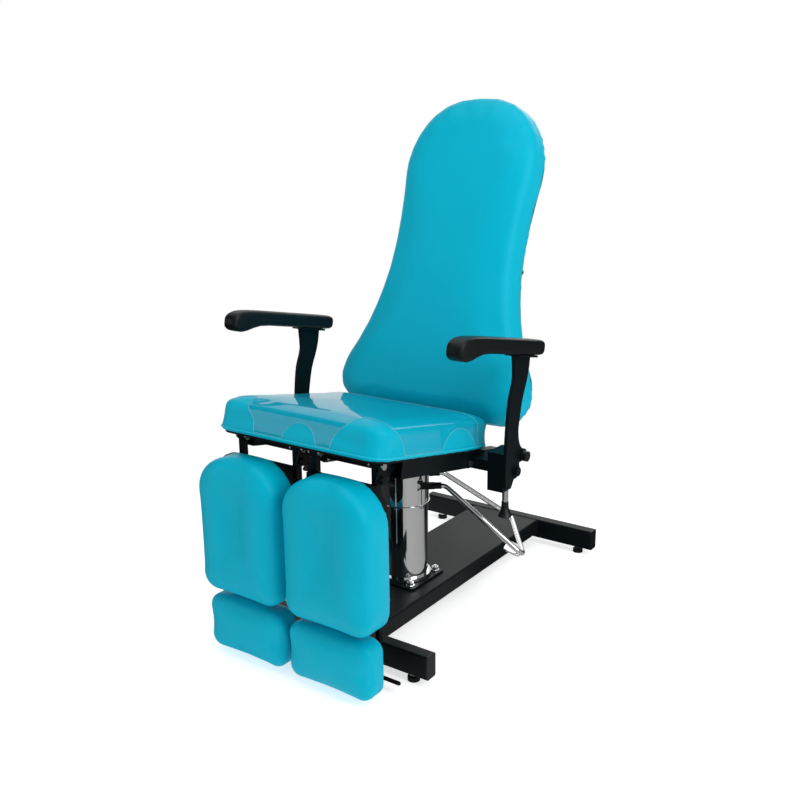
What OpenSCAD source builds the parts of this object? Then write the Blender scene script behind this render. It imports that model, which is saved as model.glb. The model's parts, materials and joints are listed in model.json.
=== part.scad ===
// Podiatry chair: a foot-pumped lifting column on an H-shaped base, a raked seat,
// a shaped reclining back, two separate leg rests with sliding heel pads and two
// armrests that fold back. Millimetres, +Z up, the sitter faces -Y and so has +X
// at the left hand.

/* [Base] */
// Length of each crossbar, end caps included
crossbar_l = 600; // [520:10:720]
// Depth of a crossbar, front to back
crossbar_w = 35; // [30:1:45]
// Height of a crossbar
crossbar_h = 60; // [50:1:70]
// Wall of the crossbar tube
crossbar_wall = 2.5; // [1.5:0.5:4]
// Distance between the crossbars' centre lines
base_span = 894; // [800:2:1000]
// Height of the crossbars' undersides above the floor
foot_gap = 20; // [14:1:26]
// Width of the sheet channel between the crossbars
channel_w = 234; // [200:2:280]
// Depth of the channel's side skirts
channel_skirt = 44; // [30:1:55]
// Thickness of the channel's sheet
sheet_t = 3; // [2:0.5:4]
// Outside bend radius of the channel
channel_bend_r = 6; // [4:1:8]
// Thickness of an end cap outside its tube
cap_t = 5; // [3:1:8]
// Distance from a crossbar's end to its foot
foot_inset = 50; // [40:1:70]
// Radius of a foot's disc
foot_r = 15; // [12:1:20]
// Height of a foot's disc
foot_disc_h = 10; // [6:1:13]
// Radius of a foot's threaded stem
foot_stem_r = 5; // [4:0.5:6]

/* [Pump] */
// Distance from the base's centre to the pump, forwards
pump_forward = 128; // [100:1:160]
// Width of the square flange under the pump
flange_w = 158; // [145:1:180]
// Thickness of the flange
flange_t = 6; // [4:1:10]
// Distance between neighbouring flange bolts
flange_bolt_pitch = 120; // [112:1:126]
// Radius of a flange bolt's shank
flange_bolt_r = 5; // [4:0.5:6]
// Outside radius of the pump body
pump_r = 64; // [58:1:70]
// Height of the pump body
pump_h = 303; // [270:1:330]
// Wall of the pump body
pump_wall = 4; // [3:0.5:6]
// Radius of the lifting ram
ram_r = 22.5; // [18:0.5:24]
// Gap between the pump body and its sliding shroud
shroud_gap = 1.5; // [1:0.5:3]
// Wall of the sliding shroud
shroud_t = 2; // [1:0.5:3]
// Height of the sliding shroud
shroud_h = 114; // [100:1:130]
// Gap above the pump body when the seat is as photographed
head_gap = 23; // [20:1:40]

/* [Pedal] */
// Turn of the pedal about the column, from +X towards +Y, in degrees
pedal_turn = 35.7; // [0:0.1:90]
// Height of the pedal's shaft above the flange
pedal_h = 270; // [255:1:274]
// Distance from the column's axis to the pedal's shaft
pedal_shaft_d = 36; // [33:0.5:38]
// Distance between the two arms where they leave the column
pedal_root_w = 104; // [96:1:112]
// Width of the pedal's loop at its outer end
pedal_end_w = 280; // [220:2:300]
// Length of the sloping part of the loop
pedal_reach = 272; // [220:2:290]
// Slope of the loop below the level, in degrees
pedal_slope = 37.1; // [30:0.1:45]
// Radius of the loop's tube
pedal_tube_r = 7; // [6:0.5:8]

/* [Seat] */
// Distance from the base's centre to the leg rests' hinge line, forwards
hinge_forward = 516; // [490:1:540]
// Height of the hinge line above the floor
hinge_h = 543; // [530:1:560]
// Rake of the seat, down towards the back, in degrees
seat_rake = 10.7; // [8:0.1:12]
// Width of the seat cushion
seat_w = 500; // [480:2:520]
// Depth of the seat cushion, front to back
seat_depth = 484; // [470:1:486]
// Overhang of the seat cushion in front of the hinge line
seat_overhang = 58; // [50:1:62]
// Thickness of the seat cushion at its edge
seat_t = 78; // [65:1:85]
// Rise of the seat cushion's crown
seat_crown = 10; // [4:1:14]
// Height of the seat cushion's underside above the hinge line
seat_drop = 18.5; // [18:0.5:24]
// Thickness of the seat board
seat_board_t = 9; // [8:0.5:10]
// Width of the seat frame over its side rails
frame_w = 478; // [460:2:480]
// Width of a frame tube
rail_w = 30; // [25:1:35]
// Height of a frame tube
rail_h = 40; // [34:1:44]
// Wall of a frame tube
rail_wall = 2; // [1.5:0.5:3]

/* [Back] */
// Angle of the back behind the square to the seat, in degrees
back_open = 9.3; // [6:0.1:14]
// Length of the back
back_l = 885; // [800:5:950]
// Width of the back at its widest, near the foot
back_w = 592; // [560:2:600]
// Thickness of the back cushion at its edge
back_t = 80; // [60:1:84]
// Rise of the back cushion's crown
back_crown = 12; // [4:1:16]
// Thickness of the back board
back_board_t = 16; // [10:1:18]
// Distance between the back's two arms
back_arm_span = 300; // [240:2:330]

/* [Leg rests] */
// Distance from the middle of the chair to the middle of a leg frame
leg_x = 115.5; // [112:0.5:120]
// Distance between the two tubes of a leg frame
leg_span = 173; // [168:1:176]
// Width of a leg tube
leg_tube_w = 14; // [12:1:16]
// Depth of a leg tube
leg_tube_d = 16; // [14:1:18]
// Wall of a leg tube
leg_tube_wall = 1.5; // [1:0.1:2]
// Length of a leg tube below the hinge line
leg_tube_l = 350; // [320:2:360]
// Width of a calf pad
calf_w = 258; // [240:1:262]
// Height of a calf pad
calf_h = 350; // [330:1:356]
// Thickness of a calf pad at its edge
calf_t = 83; // [60:1:86]
// Rise of a calf pad's crown
calf_crown = 8; // [2:1:12]
// Width of a heel pad
heel_w = 247; // [230:1:250]
// Height of a heel pad
heel_h = 146; // [130:1:150]
// Thickness of a heel pad at its edge
heel_t = 55; // [45:1:60]
// Rise of a heel pad's crown
heel_crown = 6; // [2:1:10]
// Travel of a heel pad down its tubes
heel_travel = 120; // [80:5:140]

/* [Armrests] */
// Distance between the middles of the armrest pads
arm_span = 670; // [664:1:680]
// Distance from the hinge line back to the armrest pivots
arm_pivot_back = 384; // [370:1:395]
// Distance from the hinge line down to the armrest pivots
arm_pivot_down = 98; // [90:1:105]
// Height of an armrest's upright above its pivot
upright_h = 292; // [270:1:310]
// Thickness of an upright
upright_t = 8; // [6:0.5:10]
// Length of an armrest pad
arm_pad_l = 392; // [360:2:420]
// Width of an armrest pad
arm_pad_w = 50; // [44:1:60]
// Thickness of an armrest pad
arm_pad_t = 38; // [32:1:42]

/* [Hidden] */

// Overrun of a cut past the faces that it opens
over = 1;
// Radial clearance of a pin or shaft in its bore
run_gap = 0.05;
// Radial clearance of a bolt in its hole
bolt_gap = 0.4;
// Gap between a piece and the one that it moves past
side_gap = 0.6;
// Clearance of a soft pad from what stands next to it
soft_gap = 0.3;
// Gap between an armrest and its bracket
arm_gap = 1;

// Colours
black = [0.07, 0.08, 0.09];
dark = [0.17, 0.18, 0.19];
chrome = [0.8, 0.82, 0.84];
vinyl = [0, 0.66, 0.8];
clear = [0.8, 0.95, 1, 0.35];
rubber = [0.1, 0.1, 0.11];

// Smoothness of round work: large, usual and small
fine = 96;
round = 48;
small = 32;

// Base hardware
tube_bend_r = 4;
cap_plug_l = 20;
cap_plug_gap = 0.1;
foot_stem_l = 36;
// Depth from the leg rests' hinge back to the middle of the front crossbar
hinge_to_bar = 69;
foot_nut_r = 10;
foot_nut_h = 8;
foot_locknut_h = 6;
bolt_hex_r = 9.8;
bolt_hex_h = 8;
washer_r = 11;
washer_t = 2;
flange_corner_r = 12;

// Pump
collar_r = 71;
collar_h = 10;
bush_plate_t = 8;
bush_wall = 5.5;
bush_h = 20;
ram_foot = 34;
lip_r = 2;
slot_w = 12;
slot_top = 24;
head_plate_t = 8;
head_plate_w = 150;
gusset_t = 8;
gusset_x = 50;

// Pedal
pedal_shaft_r = 7;
pedal_lug_t = 7;
pedal_lug_r = 10;
pedal_tongue_t = 9;
pedal_socket_r = 9;
pedal_socket_l = 24;
pedal_level_l = 74;
pedal_corner_r = 34;
pedal_knee_r = 10;
pedal_plate_t = 5;
pedal_plate_w = 46;
pedal_plate_l = 60;

// Seat frame
front_tube_back = 48;
front_tube_h = 30;
pump_tube_front = 305;
pump_tube_rear = 405;
rail_back = 492;
seat_corner_r = 55;
seat_back_corner_r = 45;
board_inset = 10;
cover_t = 1;
cover_gap = 0.4;
corner_arch_r = 82;
corner_arch_in = 10.25;
front_arch_r = 50;
front_arch_x = 24;
side_arch_r = 84;
side_arch_back = 270;

// Leg hinges and clamps
ear_t = 4;
ear_r = 9;
hinge_bolt_r = 5;
head_r = 8;
head_h = 5.5;
lock_r = 30;
lock_stud_r = 4;
lock_plate_r = 41;
lock_plate_t = 6;
lock_slot_gap = 0.3;
lock_turn = -11;
lock_margin = 12;
lock_hub_r = 9;
lock_hub_h = 10;
lock_handle_l = 42;
lock_handle_r = 4.5;
lock_handle_drop = 32;
leg_swing = 90;
link_l = 120;
slider_gap = 0.1;

// Leg rests
spacer_d = 19;
spacer_h = 30;
spacer_wall = 2;
spacer_top = 43;
spacer_end = 22;
calf_board_t = 12;
calf_gap = 4;
calf_drop = 25;
calf_hollow = 12;
calf_rise_share = 0.49;
heel_gap = 6;
heel_board_t = 12;
heel_lead = 14;
calf_heel_gap = 10;
heel_spacer_in = 47;
heel_engage = 50;
heel_bar_end = 8;
heel_rod_r = 5;
heel_rod_rise = 14;
heel_rod_reach = 52;
heel_knob_r = 13;
heel_knob_h = 14;
heel_screw_r = 3;
heel_knob_end = 22;

// Back
pivot_back = 466;
pivot_drop = 12;
pivot_r = 8;
torsion_r = 15;
lobe_r = 21;
back_ahead = 43;
back_rise = 76;
arm_plate_t = 8;
arm_plate_d = 25;
arm_plate_top = 616;
arm_bend_rise = 66;
strip_w = 34;
strip_t = 4;
strip_low = 110;
back_rail_r = 8.5;
back_rail_rise = 498;
back_rail_l = 370;
rail_cap_l = 18;
screw_r = 3;
screw_head_r = 6;
screw_head_h = 3.5;
screw_l = 11;
screw_rows = 4;

// Gas spring
spring_x = -112;
spring_lever_r = 50;
spring_swing = 65;
spring_lever_t = 8;
spring_lever_w = 12;
spring_slot_gap = 1.5;
spring_r = 14;
spring_wall = 2;
spring_rod_r = 5;
spring_front = 200;
spring_eye_r = 10;
spring_pin_r = 5;
spring_tube_l = 170;
spring_end_t = 12;
spring_cheek_t = 5;
spring_fork_l = 30;

// Recline lever
lever_x = -224;
lever_back = 452;
lever_drop = 14;
lever_r = 4;
lever_hub_r = 8;
lever_inner_l = 58;
lever_outer_l = 26;
lever_grip_r = 8;
lever_grip_l = 60;

// Armrest fittings
bracket_t = 3;
bracket_d = 70;
bracket_ahead = 46;
bracket_width_share = 0.4835;
bracket_up = 53;
bracket_down = 45;
bracket_arm_up = 30;
bracket_arm_down = 3;
bracket_flange = 16;
bracket_bolt_r = 4;
arm_shaft_r = 6;
arm_disc_r = 24;
arm_disc_t = 8;
arm_hub_r = 17;
arm_swing = 100;
arm_stop_margin = 3;
arm_washer_r = 16;
arm_washer_t = 2.5;
arm_cap_h = 9;
lock_screw_r = 4;
lock_knob_r = 13;
lock_knob_h = 15;
lock_knob_back = 34;
lock_knob_up = 31;
plunger_r = 4;
plunger_in = 10;
plunger_ahead = 16;
plunger_reach = 14;
plunger_collar_r = 8;
plunger_collar_h = 32;
plunger_knob_h = 39;
plunger_knob_r = 18;
plunger_neck_r = 9;
arm_top_plate_l = 92;
arm_top_plate_w = 42;
arm_top_plate_t = 5;
arm_pad_back = 103;
arm_pad_edge = 9;

// Places that follow from the sizes above
crossbar_top = foot_gap + crossbar_h;
flange_top = crossbar_top + flange_t;
pump_top = flange_top + pump_h;
shroud_top = pump_top + head_gap;
shroud_r = pump_r + shroud_gap + shroud_t;
shaft_z = flange_top + pedal_h;
board_h = seat_drop - seat_board_t;
rail_low = board_h - rail_h;
seat_back = seat_depth - seat_overhang;
head_drop = leg_tube_d / 2 + ear_t;
link_w = leg_tube_w - 2 * leg_tube_wall - 2 * slider_gap;
link_d = leg_tube_d - 2 * leg_tube_wall - 2 * slider_gap;
plate_x = leg_tube_w / 2 + side_gap;
clamp_x = plate_x + lock_plate_t + side_gap;
calf_back = leg_tube_d / 2 + spacer_d + calf_board_t;
heel_back = calf_back + heel_lead;
spacer_low = leg_tube_l - spacer_h - spacer_end;
heel_knob_drop = leg_tube_l - heel_knob_end;
heel_drop = calf_drop + calf_h + calf_heel_gap;
heel_spacer_drop = heel_drop + heel_spacer_in;
heel_rod_drop = heel_drop + heel_h - heel_rod_rise;
upright_x = (arm_span - upright_t) / 2;
bracket_out = upright_x - arm_gap;
bracket_out_w = bracket_width_share * (bracket_out - frame_w / 2);
bracket_in = bracket_out - bracket_out_w;
plunger_x = bracket_out - plunger_in;
arm_face = back_t + back_board_t - back_ahead;
rail_behind = arm_face + (arm_plate_d + strip_t) / 2;
spring_reach = pivot_back + spring_lever_r * sin(spring_swing / 2);
spring_h = -pivot_drop - spring_lever_r * cos(spring_swing / 2);
spring_lever_turn = spring_swing / 2 + back_open - 90;
stud = [lock_r * sin(lock_turn), -lock_r * cos(lock_turn)];
raked_stud = [lock_r * sin(lock_turn + seat_rake), -lock_r * cos(lock_turn + seat_rake)];
front_reach = hinge_forward + calf_back + calf_t + calf_rise_share * calf_crown;
base_mid = hinge_to_bar - hinge_forward + base_span / 2;
rear_reach = base_mid + (base_span + crossbar_w) / 2;
base_y = (front_reach - rear_reach) / 2;
foot_x = crossbar_l / 2 - foot_inset;
heel_bar_top = leg_tube_l - heel_travel - heel_engage;

// Frames: the whole stands on the middle of its own footprint
module place() translate([0, base_y, 0]) children();
module place_base() place() translate([0, base_mid, 0]) children();
module at_pump() place() translate([0, -pump_forward, 0]) children();
module at_pedal() at_pump() translate([0, 0, shaft_z]) rotate([0, 0, pedal_turn]) children();
module at_hinge() place() translate([0, -hinge_forward, hinge_h]) children();
module on_seat() at_hinge() rotate([-seat_rake, 0, 0]) children();
module on_back() on_seat() translate([0, pivot_back, -pivot_drop])
    rotate([-back_open, 0, 0]) children();
module at_leg(side) at_hinge() translate([side * leg_x, 0, 0]) children();
module at_arm(side) at_hinge() translate([0, arm_pivot_back, -arm_pivot_down])
    mirror([side < 0 ? 1 : 0, 0, 0]) children();

// Round bar along X, centred
module x_bar(r, l, sides = small) rotate([0, 90, 0]) cylinder(r = r, h = l, center = true, $fn = sides);
// Bar along X from one place to another
module x_pin(r, from, to, sides = small)
    translate([from, 0, 0]) rotate([0, 90, 0]) cylinder(r = r, h = to - from, $fn = sides);
// Profile drawn in (Y, Z) and given a thickness along X
module x_plate(from, to) translate([from, 0, 0]) rotate([90, 0, 90]) linear_extrude(to - from) children();
// Rectangle with round corners, centred
module soft_rect(w, d, r) {
    square([w - 2 * r, d], center = true);
    square([w, d - 2 * r], center = true);
    for (x = [-1, 1], y = [-1, 1]) translate([x * (w / 2 - r), y * (d / 2 - r)]) circle(r, $fn = small);
}

// Points of a closed curve through a list of points
function along(p0, p1, p2, p3, t) = (2 * p1 + (p2 - p0) * t + (2 * p0 - 5 * p1 + 4 * p2 - p3) * t * t
    + (3 * p1 - p0 - 3 * p2 + p3) * t * t * t) / 2;
function curve(points, steps) = let (n = len(points)) [
    for (i = [0:n - 1], k = [0:steps - 1])
        along(points[(i + n - 1) % n], points[i], points[(i + 1) % n], points[(i + 2) % n], k / steps)
];
// Corner of a pad as an arc, and an outline of four such corners, its sides bowed a little
function corner(x, y, r, from, steps) = [
    for (k = [0:steps]) let (a = from + 90 * k / steps) [x + r * cos(a), y + r * sin(a)]
];
function pad_outline(w, d, r_far, r_near, steps = 10) = concat(
    corner(w / 2 - r_far, d / 2 - r_far, r_far, 0, steps),
    corner(r_far - w / 2, d / 2 - r_far, r_far, 90, steps),
    corner(r_near - w / 2, r_near - d / 2, r_near, 180, steps),
    corner(w / 2 - r_near, r_near - d / 2, r_near, 270, steps)
);
// Outline moved inwards by an even distance
function inwards(points, by) = let (n = len(points)) [
    for (i = [0:n - 1])
        let (t = points[(i + 1) % n] - points[(i + n - 1) % n]) points[i] + by * [-t[1], t[0]] / norm(t)
];
// Rings joined into a closed skin, each the same count of points, the last one ending on a middle point
module skin(rings, low, high) {
    n = len(rings[0]);
    m = len(rings);
    polyhedron(
        points = concat([for (ring = rings) each ring], [low, high]),
        faces = concat(
            [for (k = [0:m - 2], i = [0:n - 1]) each [
                [k * n + i, (k + 1) * n + i, k * n + (i + 1) % n],
                [k * n + (i + 1) % n, (k + 1) * n + i, (k + 1) * n + (i + 1) % n]]],
            [for (i = [0:n - 1]) [m * n, i, (i + 1) % n]],
            [for (i = [0:n - 1]) [m * n + 1, (m - 1) * n + (i + 1) % n, (m - 1) * n + i]]
        )
    );
}
// Rings of a cushion that lies on its board: [inset, height] up the drawn-in side and the round edge
bead_share = [[0.9, 0], [0.25, 0.25], [0.25, 0.75], [0.8, 1]];
function side_rings(t, edge, draw, bead) = concat(
    [for (s = bead_share) [draw * s[0], bead * s[1]]],
    [[draw / 3, (t - edge + bead) / 2]],
    [for (a = [0:18:90]) [edge * (1 - cos(a)), t - edge + edge * sin(a)]]
);
crown_shares = [0.9, 0.7, 0.45, 0.2];
// Cushion: outline, edge thickness, radius of the upper edge, draw-in of the side, welt height,
// crown, and the depth of a hollow along the middle
module pad(points, t, edge, draw, bead, crown, hollow = 0, middle = [0, 0]) {
    sides = [for (s = side_rings(t, edge, draw, bead)) [for (p = inwards(points, s[0])) [p[0], p[1], s[1]]]];
    rim = inwards(points, edge);
    half = max([for (p = rim) abs(p[0] - middle[0])]);
    function top(x, k) = t + (1 - k * k)
        * (crown - (crown + hollow) * (1 + cos(180 * min(1, abs(x) / half * 1.3))) / 2);
    tops = [for (k = crown_shares) [for (p = rim) let (q = middle + k * (p - middle))
        [q[0], q[1], hollow > 0 ? top(q[0] - middle[0], k) : t + crown * (1 - k * k)]]];
    skin(concat(sides, tops), [middle[0], middle[1], 0],
        [middle[0], middle[1], hollow > 0 ? t - hollow : t + crown]);
}

// Base: hollow crossbar with a stem hole over each foot
module crossbar(y) color(black) place_base() translate([0, y, foot_gap]) difference() {
    length = crossbar_l - 2 * cap_t;
    translate([0, 0, crossbar_h / 2]) rotate([90, 0, 90]) linear_extrude(length, center = true) difference() {
        soft_rect(crossbar_w, crossbar_h, tube_bend_r);
        square([crossbar_w - 2 * crossbar_wall, crossbar_h - 2 * crossbar_wall], center = true);
    }
    for (x = [-foot_x, foot_x]) translate([x, 0, -over])
        cylinder(r = foot_stem_r + bolt_gap, h = crossbar_wall + 2 * over, $fn = round);
}
module front_crossbar() crossbar(-base_span / 2);
module rear_crossbar() crossbar(base_span / 2);
module crossbar_caps() color(rubber) place_base()
    for (x = [-1, 1], y = [-1, 1]) translate([x * crossbar_l / 2, y * base_span / 2, foot_gap + crossbar_h / 2])
        rotate([90, 0, -90 * x]) {
            linear_extrude(cap_t) soft_rect(crossbar_w, crossbar_h, tube_bend_r);
            translate([0, 0, cap_t]) linear_extrude(cap_plug_l) square([
                crossbar_w - 2 * (crossbar_wall + cap_plug_gap),
                crossbar_h - 2 * (crossbar_wall + cap_plug_gap)], center = true);
        }
// Bent sheet with its skirts down, drilled for the flange bolts
module base_channel() color(dark) place_base() difference() {
    length = base_span - crossbar_w;
    translate([0, 0, crossbar_top]) rotate([90, 0, 0]) linear_extrude(length, center = true) difference() {
        channel_profile(channel_w, channel_skirt, channel_bend_r);
        channel_profile(channel_w - 2 * sheet_t, channel_skirt + over, channel_bend_r - sheet_t, sheet_t);
    }
    translate([0, -pump_forward - base_mid, 0]) at_flange_bolts()
        translate([0, 0, crossbar_top - sheet_t - over])
            cylinder(r = flange_bolt_r + bolt_gap, h = sheet_t + 2 * over, $fn = round);
}
module channel_profile(w, h, r, down = 0) {
    translate([-w / 2, -h]) square([w, h - down - r]);
    translate([r - w / 2, -down - r - over]) square([w - 2 * r, r + over]);
    for (x = [-1, 1]) translate([x * (w / 2 - r), -down - r]) circle(r, $fn = small);
}
module at_flange_bolts()
    for (x = [-1, 1], y = [-1, 1]) translate([x, y, 0] * flange_bolt_pitch / 2) children();
module foot_nut(z, h, sides) translate([0, 0, z]) difference() {
    cylinder(r = foot_nut_r, h = h, $fn = sides);
    translate([0, 0, -over]) cylinder(r = foot_stem_r + run_gap, h = h + 2 * over, $fn = round);
}
module base_fasteners() color(chrome) {
    place_base() for (x = [-foot_x, foot_x], y = [-base_span / 2, base_span / 2]) translate([x, y, 0]) {
        foot_nut(foot_gap + crossbar_wall, foot_nut_h, 6);
        foot_nut(foot_gap - foot_locknut_h, foot_locknut_h, 6);
    }
    at_pump() at_flange_bolts() {
        translate([0, 0, crossbar_top - sheet_t - bolt_hex_h]) cylinder(r = bolt_hex_r, h = bolt_hex_h, $fn = 6);
        translate([0, 0, crossbar_top - sheet_t - bolt_hex_h])
            cylinder(r = flange_bolt_r, h = flange_t + sheet_t + 3 * bolt_hex_h - washer_t, $fn = round);
        translate([0, 0, flange_top]) cylinder(r = washer_r, h = washer_t, $fn = round);
        translate([0, 0, flange_top + washer_t]) cylinder(r = bolt_hex_r, h = bolt_hex_h, $fn = 6);
    }
}
// Levelling foot: rubber-shod disc on its threaded stem
module foot(x, y) color(chrome) place_base() translate([x, y, 0]) {
    cylinder(r = foot_r, h = foot_disc_h, $fn = round);
    cylinder(r = foot_stem_r, h = foot_disc_h + foot_stem_l, $fn = round);
}
module foot_front_left() foot(foot_x, -base_span / 2);
module foot_front_right() foot(-foot_x, -base_span / 2);
module foot_rear_left() foot(foot_x, base_span / 2);
module foot_rear_right() foot(-foot_x, base_span / 2);

// Pump: flange, body with its window for the pedal, guide bush
module pump_flange() color(black) at_pump() translate([0, 0, crossbar_top]) difference() {
    linear_extrude(flange_t) soft_rect(flange_w, flange_w, flange_corner_r);
    translate([0, 0, -over]) at_flange_bolts()
        cylinder(r = flange_bolt_r + bolt_gap, h = flange_t + 2 * over, $fn = round);
}
module pump_body() color(chrome) difference() {
    union() {
        at_pump() translate([0, 0, flange_top]) {
            difference() {
                cylinder(r = collar_r, h = collar_h, $fn = fine);
                translate([0, 0, collar_h / 2]) cylinder(r = pump_r - pump_wall, h = collar_h, $fn = fine);
            }
            difference() {
                translate([0, 0, collar_h / 4]) cylinder(r = pump_r, h = pump_h - collar_h / 4, $fn = fine);
                translate([0, 0, collar_h / 2]) cylinder(r = pump_r - pump_wall, h = pump_h, $fn = fine);
                translate([0, 0, shaft_z - flange_top]) rotate([0, 0, pedal_turn]) pedal_windows();
            }
        }
        at_pedal() intersection() {
            for (y = [-1, 1]) translate([pedal_shaft_d - pedal_lug_r,
                y * ((pedal_root_w - slot_w - pedal_lug_t) / 2 - side_gap) - pedal_lug_t / 2, -pedal_lug_r])
                    cube([2 * pump_r, pedal_lug_t, 2 * pedal_lug_r]);
            translate([0, 0, -pump_h / 2]) cylinder(r = pump_r - pump_wall / 2, h = pump_h, $fn = fine);
        }
    }
    pedal_bore();
}
module pedal_windows() for (y = [-1, 1])
    translate([pedal_shaft_d - 2 * pedal_lug_r, (y * pedal_root_w - slot_w) / 2, -pedal_lug_r - pedal_tongue_t / 2])
        cube([2 * pump_r, slot_w, 2 * pedal_lug_r + pedal_tongue_t]);
module pedal_bore() at_pedal() translate([pedal_shaft_d, 0, 0]) rotate([90, 0, 0])
    cylinder(r = pedal_shaft_r + run_gap, h = pedal_root_w + 2 * slot_w, center = true, $fn = round);
module pump_bush() color(dark) at_pump() translate([0, 0, pump_top - bush_h]) difference() {
    union() {
        cylinder(r = ram_r + bush_wall, h = bush_h, $fn = fine);
        translate([0, 0, bush_h - bush_plate_t])
            cylinder(r = pump_r - pump_wall, h = bush_plate_t, $fn = fine);
    }
    translate([0, 0, -over]) cylinder(r = ram_r + run_gap, h = bush_h + 2 * over, $fn = fine);
}
module pump_ram() color(chrome) at_pump() translate([0, 0, flange_top + ram_foot])
    cylinder(r = ram_r, h = shroud_top - flange_top - ram_foot, $fn = fine);
// Shroud that rides up and down over the body, slotted for the pedal's tongues
module pump_shroud() color(chrome) difference() {
    at_pump() translate([0, 0, shroud_top - shroud_h]) difference() {
        union() {
            cylinder(r = shroud_r, h = shroud_h, $fn = fine);
            translate([0, 0, lip_r]) rotate_extrude($fn = fine) translate([shroud_r, 0]) circle(lip_r, $fn = small);
        }
        translate([0, 0, -over]) cylinder(r = shroud_r - shroud_t, h = shroud_h + 2 * over, $fn = fine);
    }
    at_pedal() for (y = [-1, 1]) translate([0, y * pedal_root_w / 2, shroud_top - slot_top - shaft_z])
        rotate([0, 90, 0]) {
            translate([slot_w / 2, 0, 0]) cylinder(r = slot_w / 2, h = 2 * shroud_r, $fn = small);
            translate([slot_w / 2, -slot_w / 2, 0]) cube([shroud_h, slot_w, 2 * shroud_r]);
        }
}

// Pedal: cross shaft, two tongues with sockets, and a loop of tube that slopes down and spreads
module pedal_shaft() color(chrome) at_pedal() translate([pedal_shaft_d, 0, 0]) rotate([90, 0, 0])
    cylinder(r = pedal_shaft_r, h = pedal_root_w + pedal_tongue_t, center = true, $fn = round);
module pedal_arms() color(black) difference() {
    at_pedal() for (y = [-1, 1]) translate([0, y * pedal_root_w / 2, 0]) {
        translate([pedal_shaft_d, 0, 0]) rotate([90, 0, 0])
            cylinder(r = pedal_lug_r, h = pedal_tongue_t, center = true, $fn = round);
        translate([pedal_shaft_d, -pedal_tongue_t / 2, -pedal_tongue_t])
            cube([pedal_level_l + pedal_socket_l / 4 - pedal_shaft_d, pedal_tongue_t, 2 * pedal_tongue_t]);
        translate([pedal_level_l, 0, 0]) rotate([0, 90, 0]) difference() {
            cylinder(r = pedal_socket_r, h = pedal_socket_l, $fn = round);
            translate([0, 0, pedal_socket_l / 4])
                cylinder(r = pedal_tube_r + run_gap, h = pedal_socket_l, $fn = round);
        }
    }
    pedal_bore();
}
pedal_bend_l = pedal_level_l + pedal_socket_l + pedal_knee_r;
pedal_route = let (spread = (pedal_end_w - pedal_root_w) / 2, run = sqrt(pow(pedal_reach * cos(pedal_slope), 2)
    - spread * spread), end = [pedal_bend_l + run, pedal_end_w / 2, -pedal_reach * sin(pedal_slope)]) [
    [pedal_level_l + pedal_socket_l / 4, pedal_root_w / 2, 0], [pedal_bend_l, pedal_root_w / 2, 0],
    end, [end[0], -end[1], end[2]], [pedal_bend_l, -pedal_root_w / 2, 0],
    [pedal_level_l + pedal_socket_l / 4, -pedal_root_w / 2, 0]
];
// Route with each inner corner turned into a bend of its own radius
function unit(v) = v / norm(v);
function bend(a, b, c, r, steps) = let (u = unit(a - b), v = unit(c - b)) [
    for (k = [0:steps]) let (t = k / steps, p = b + r * u, q = b + r * v)
        (1 - t) * (1 - t) * p + 2 * t * (1 - t) * b + t * t * q
];
function bent(route, radii, steps) = concat([route[0]],
    [for (i = [1:len(route) - 2]) each bend(route[i - 1], route[i], route[i + 1], radii[i - 1], steps)],
    [route[len(route) - 1]]);
module swept(path, r, sides) {
    n = len(path);
    function ring(i) = let (
        t = unit(path[min(i + 1, n - 1)] - path[max(i - 1, 0)]), s = unit(cross([0, 0, 1], t)), u = cross(t, s))
        [for (k = [0:sides - 1]) path[i] + r * (s * cos(360 * k / sides) + u * sin(360 * k / sides))];
    skin([for (i = [0:n - 1]) ring(i)], path[0], path[n - 1]);
}
module pedal_loop() color(chrome) at_pedal() {
    swept(bent(pedal_route, [pedal_knee_r, pedal_corner_r, pedal_corner_r, pedal_knee_r], 6), pedal_tube_r, 16);
    translate([pedal_route[3][0] - pedal_plate_w / 2, pedal_route[3][1] + pedal_plate_w * 0.75,
        pedal_route[3][2] + pedal_tube_r * 0.6])
            rotate([0, 0, -20]) rotate([0, 20, 0])
                linear_extrude(pedal_plate_t) soft_rect(pedal_plate_w, pedal_plate_l, pedal_plate_w / 4);
}

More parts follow.
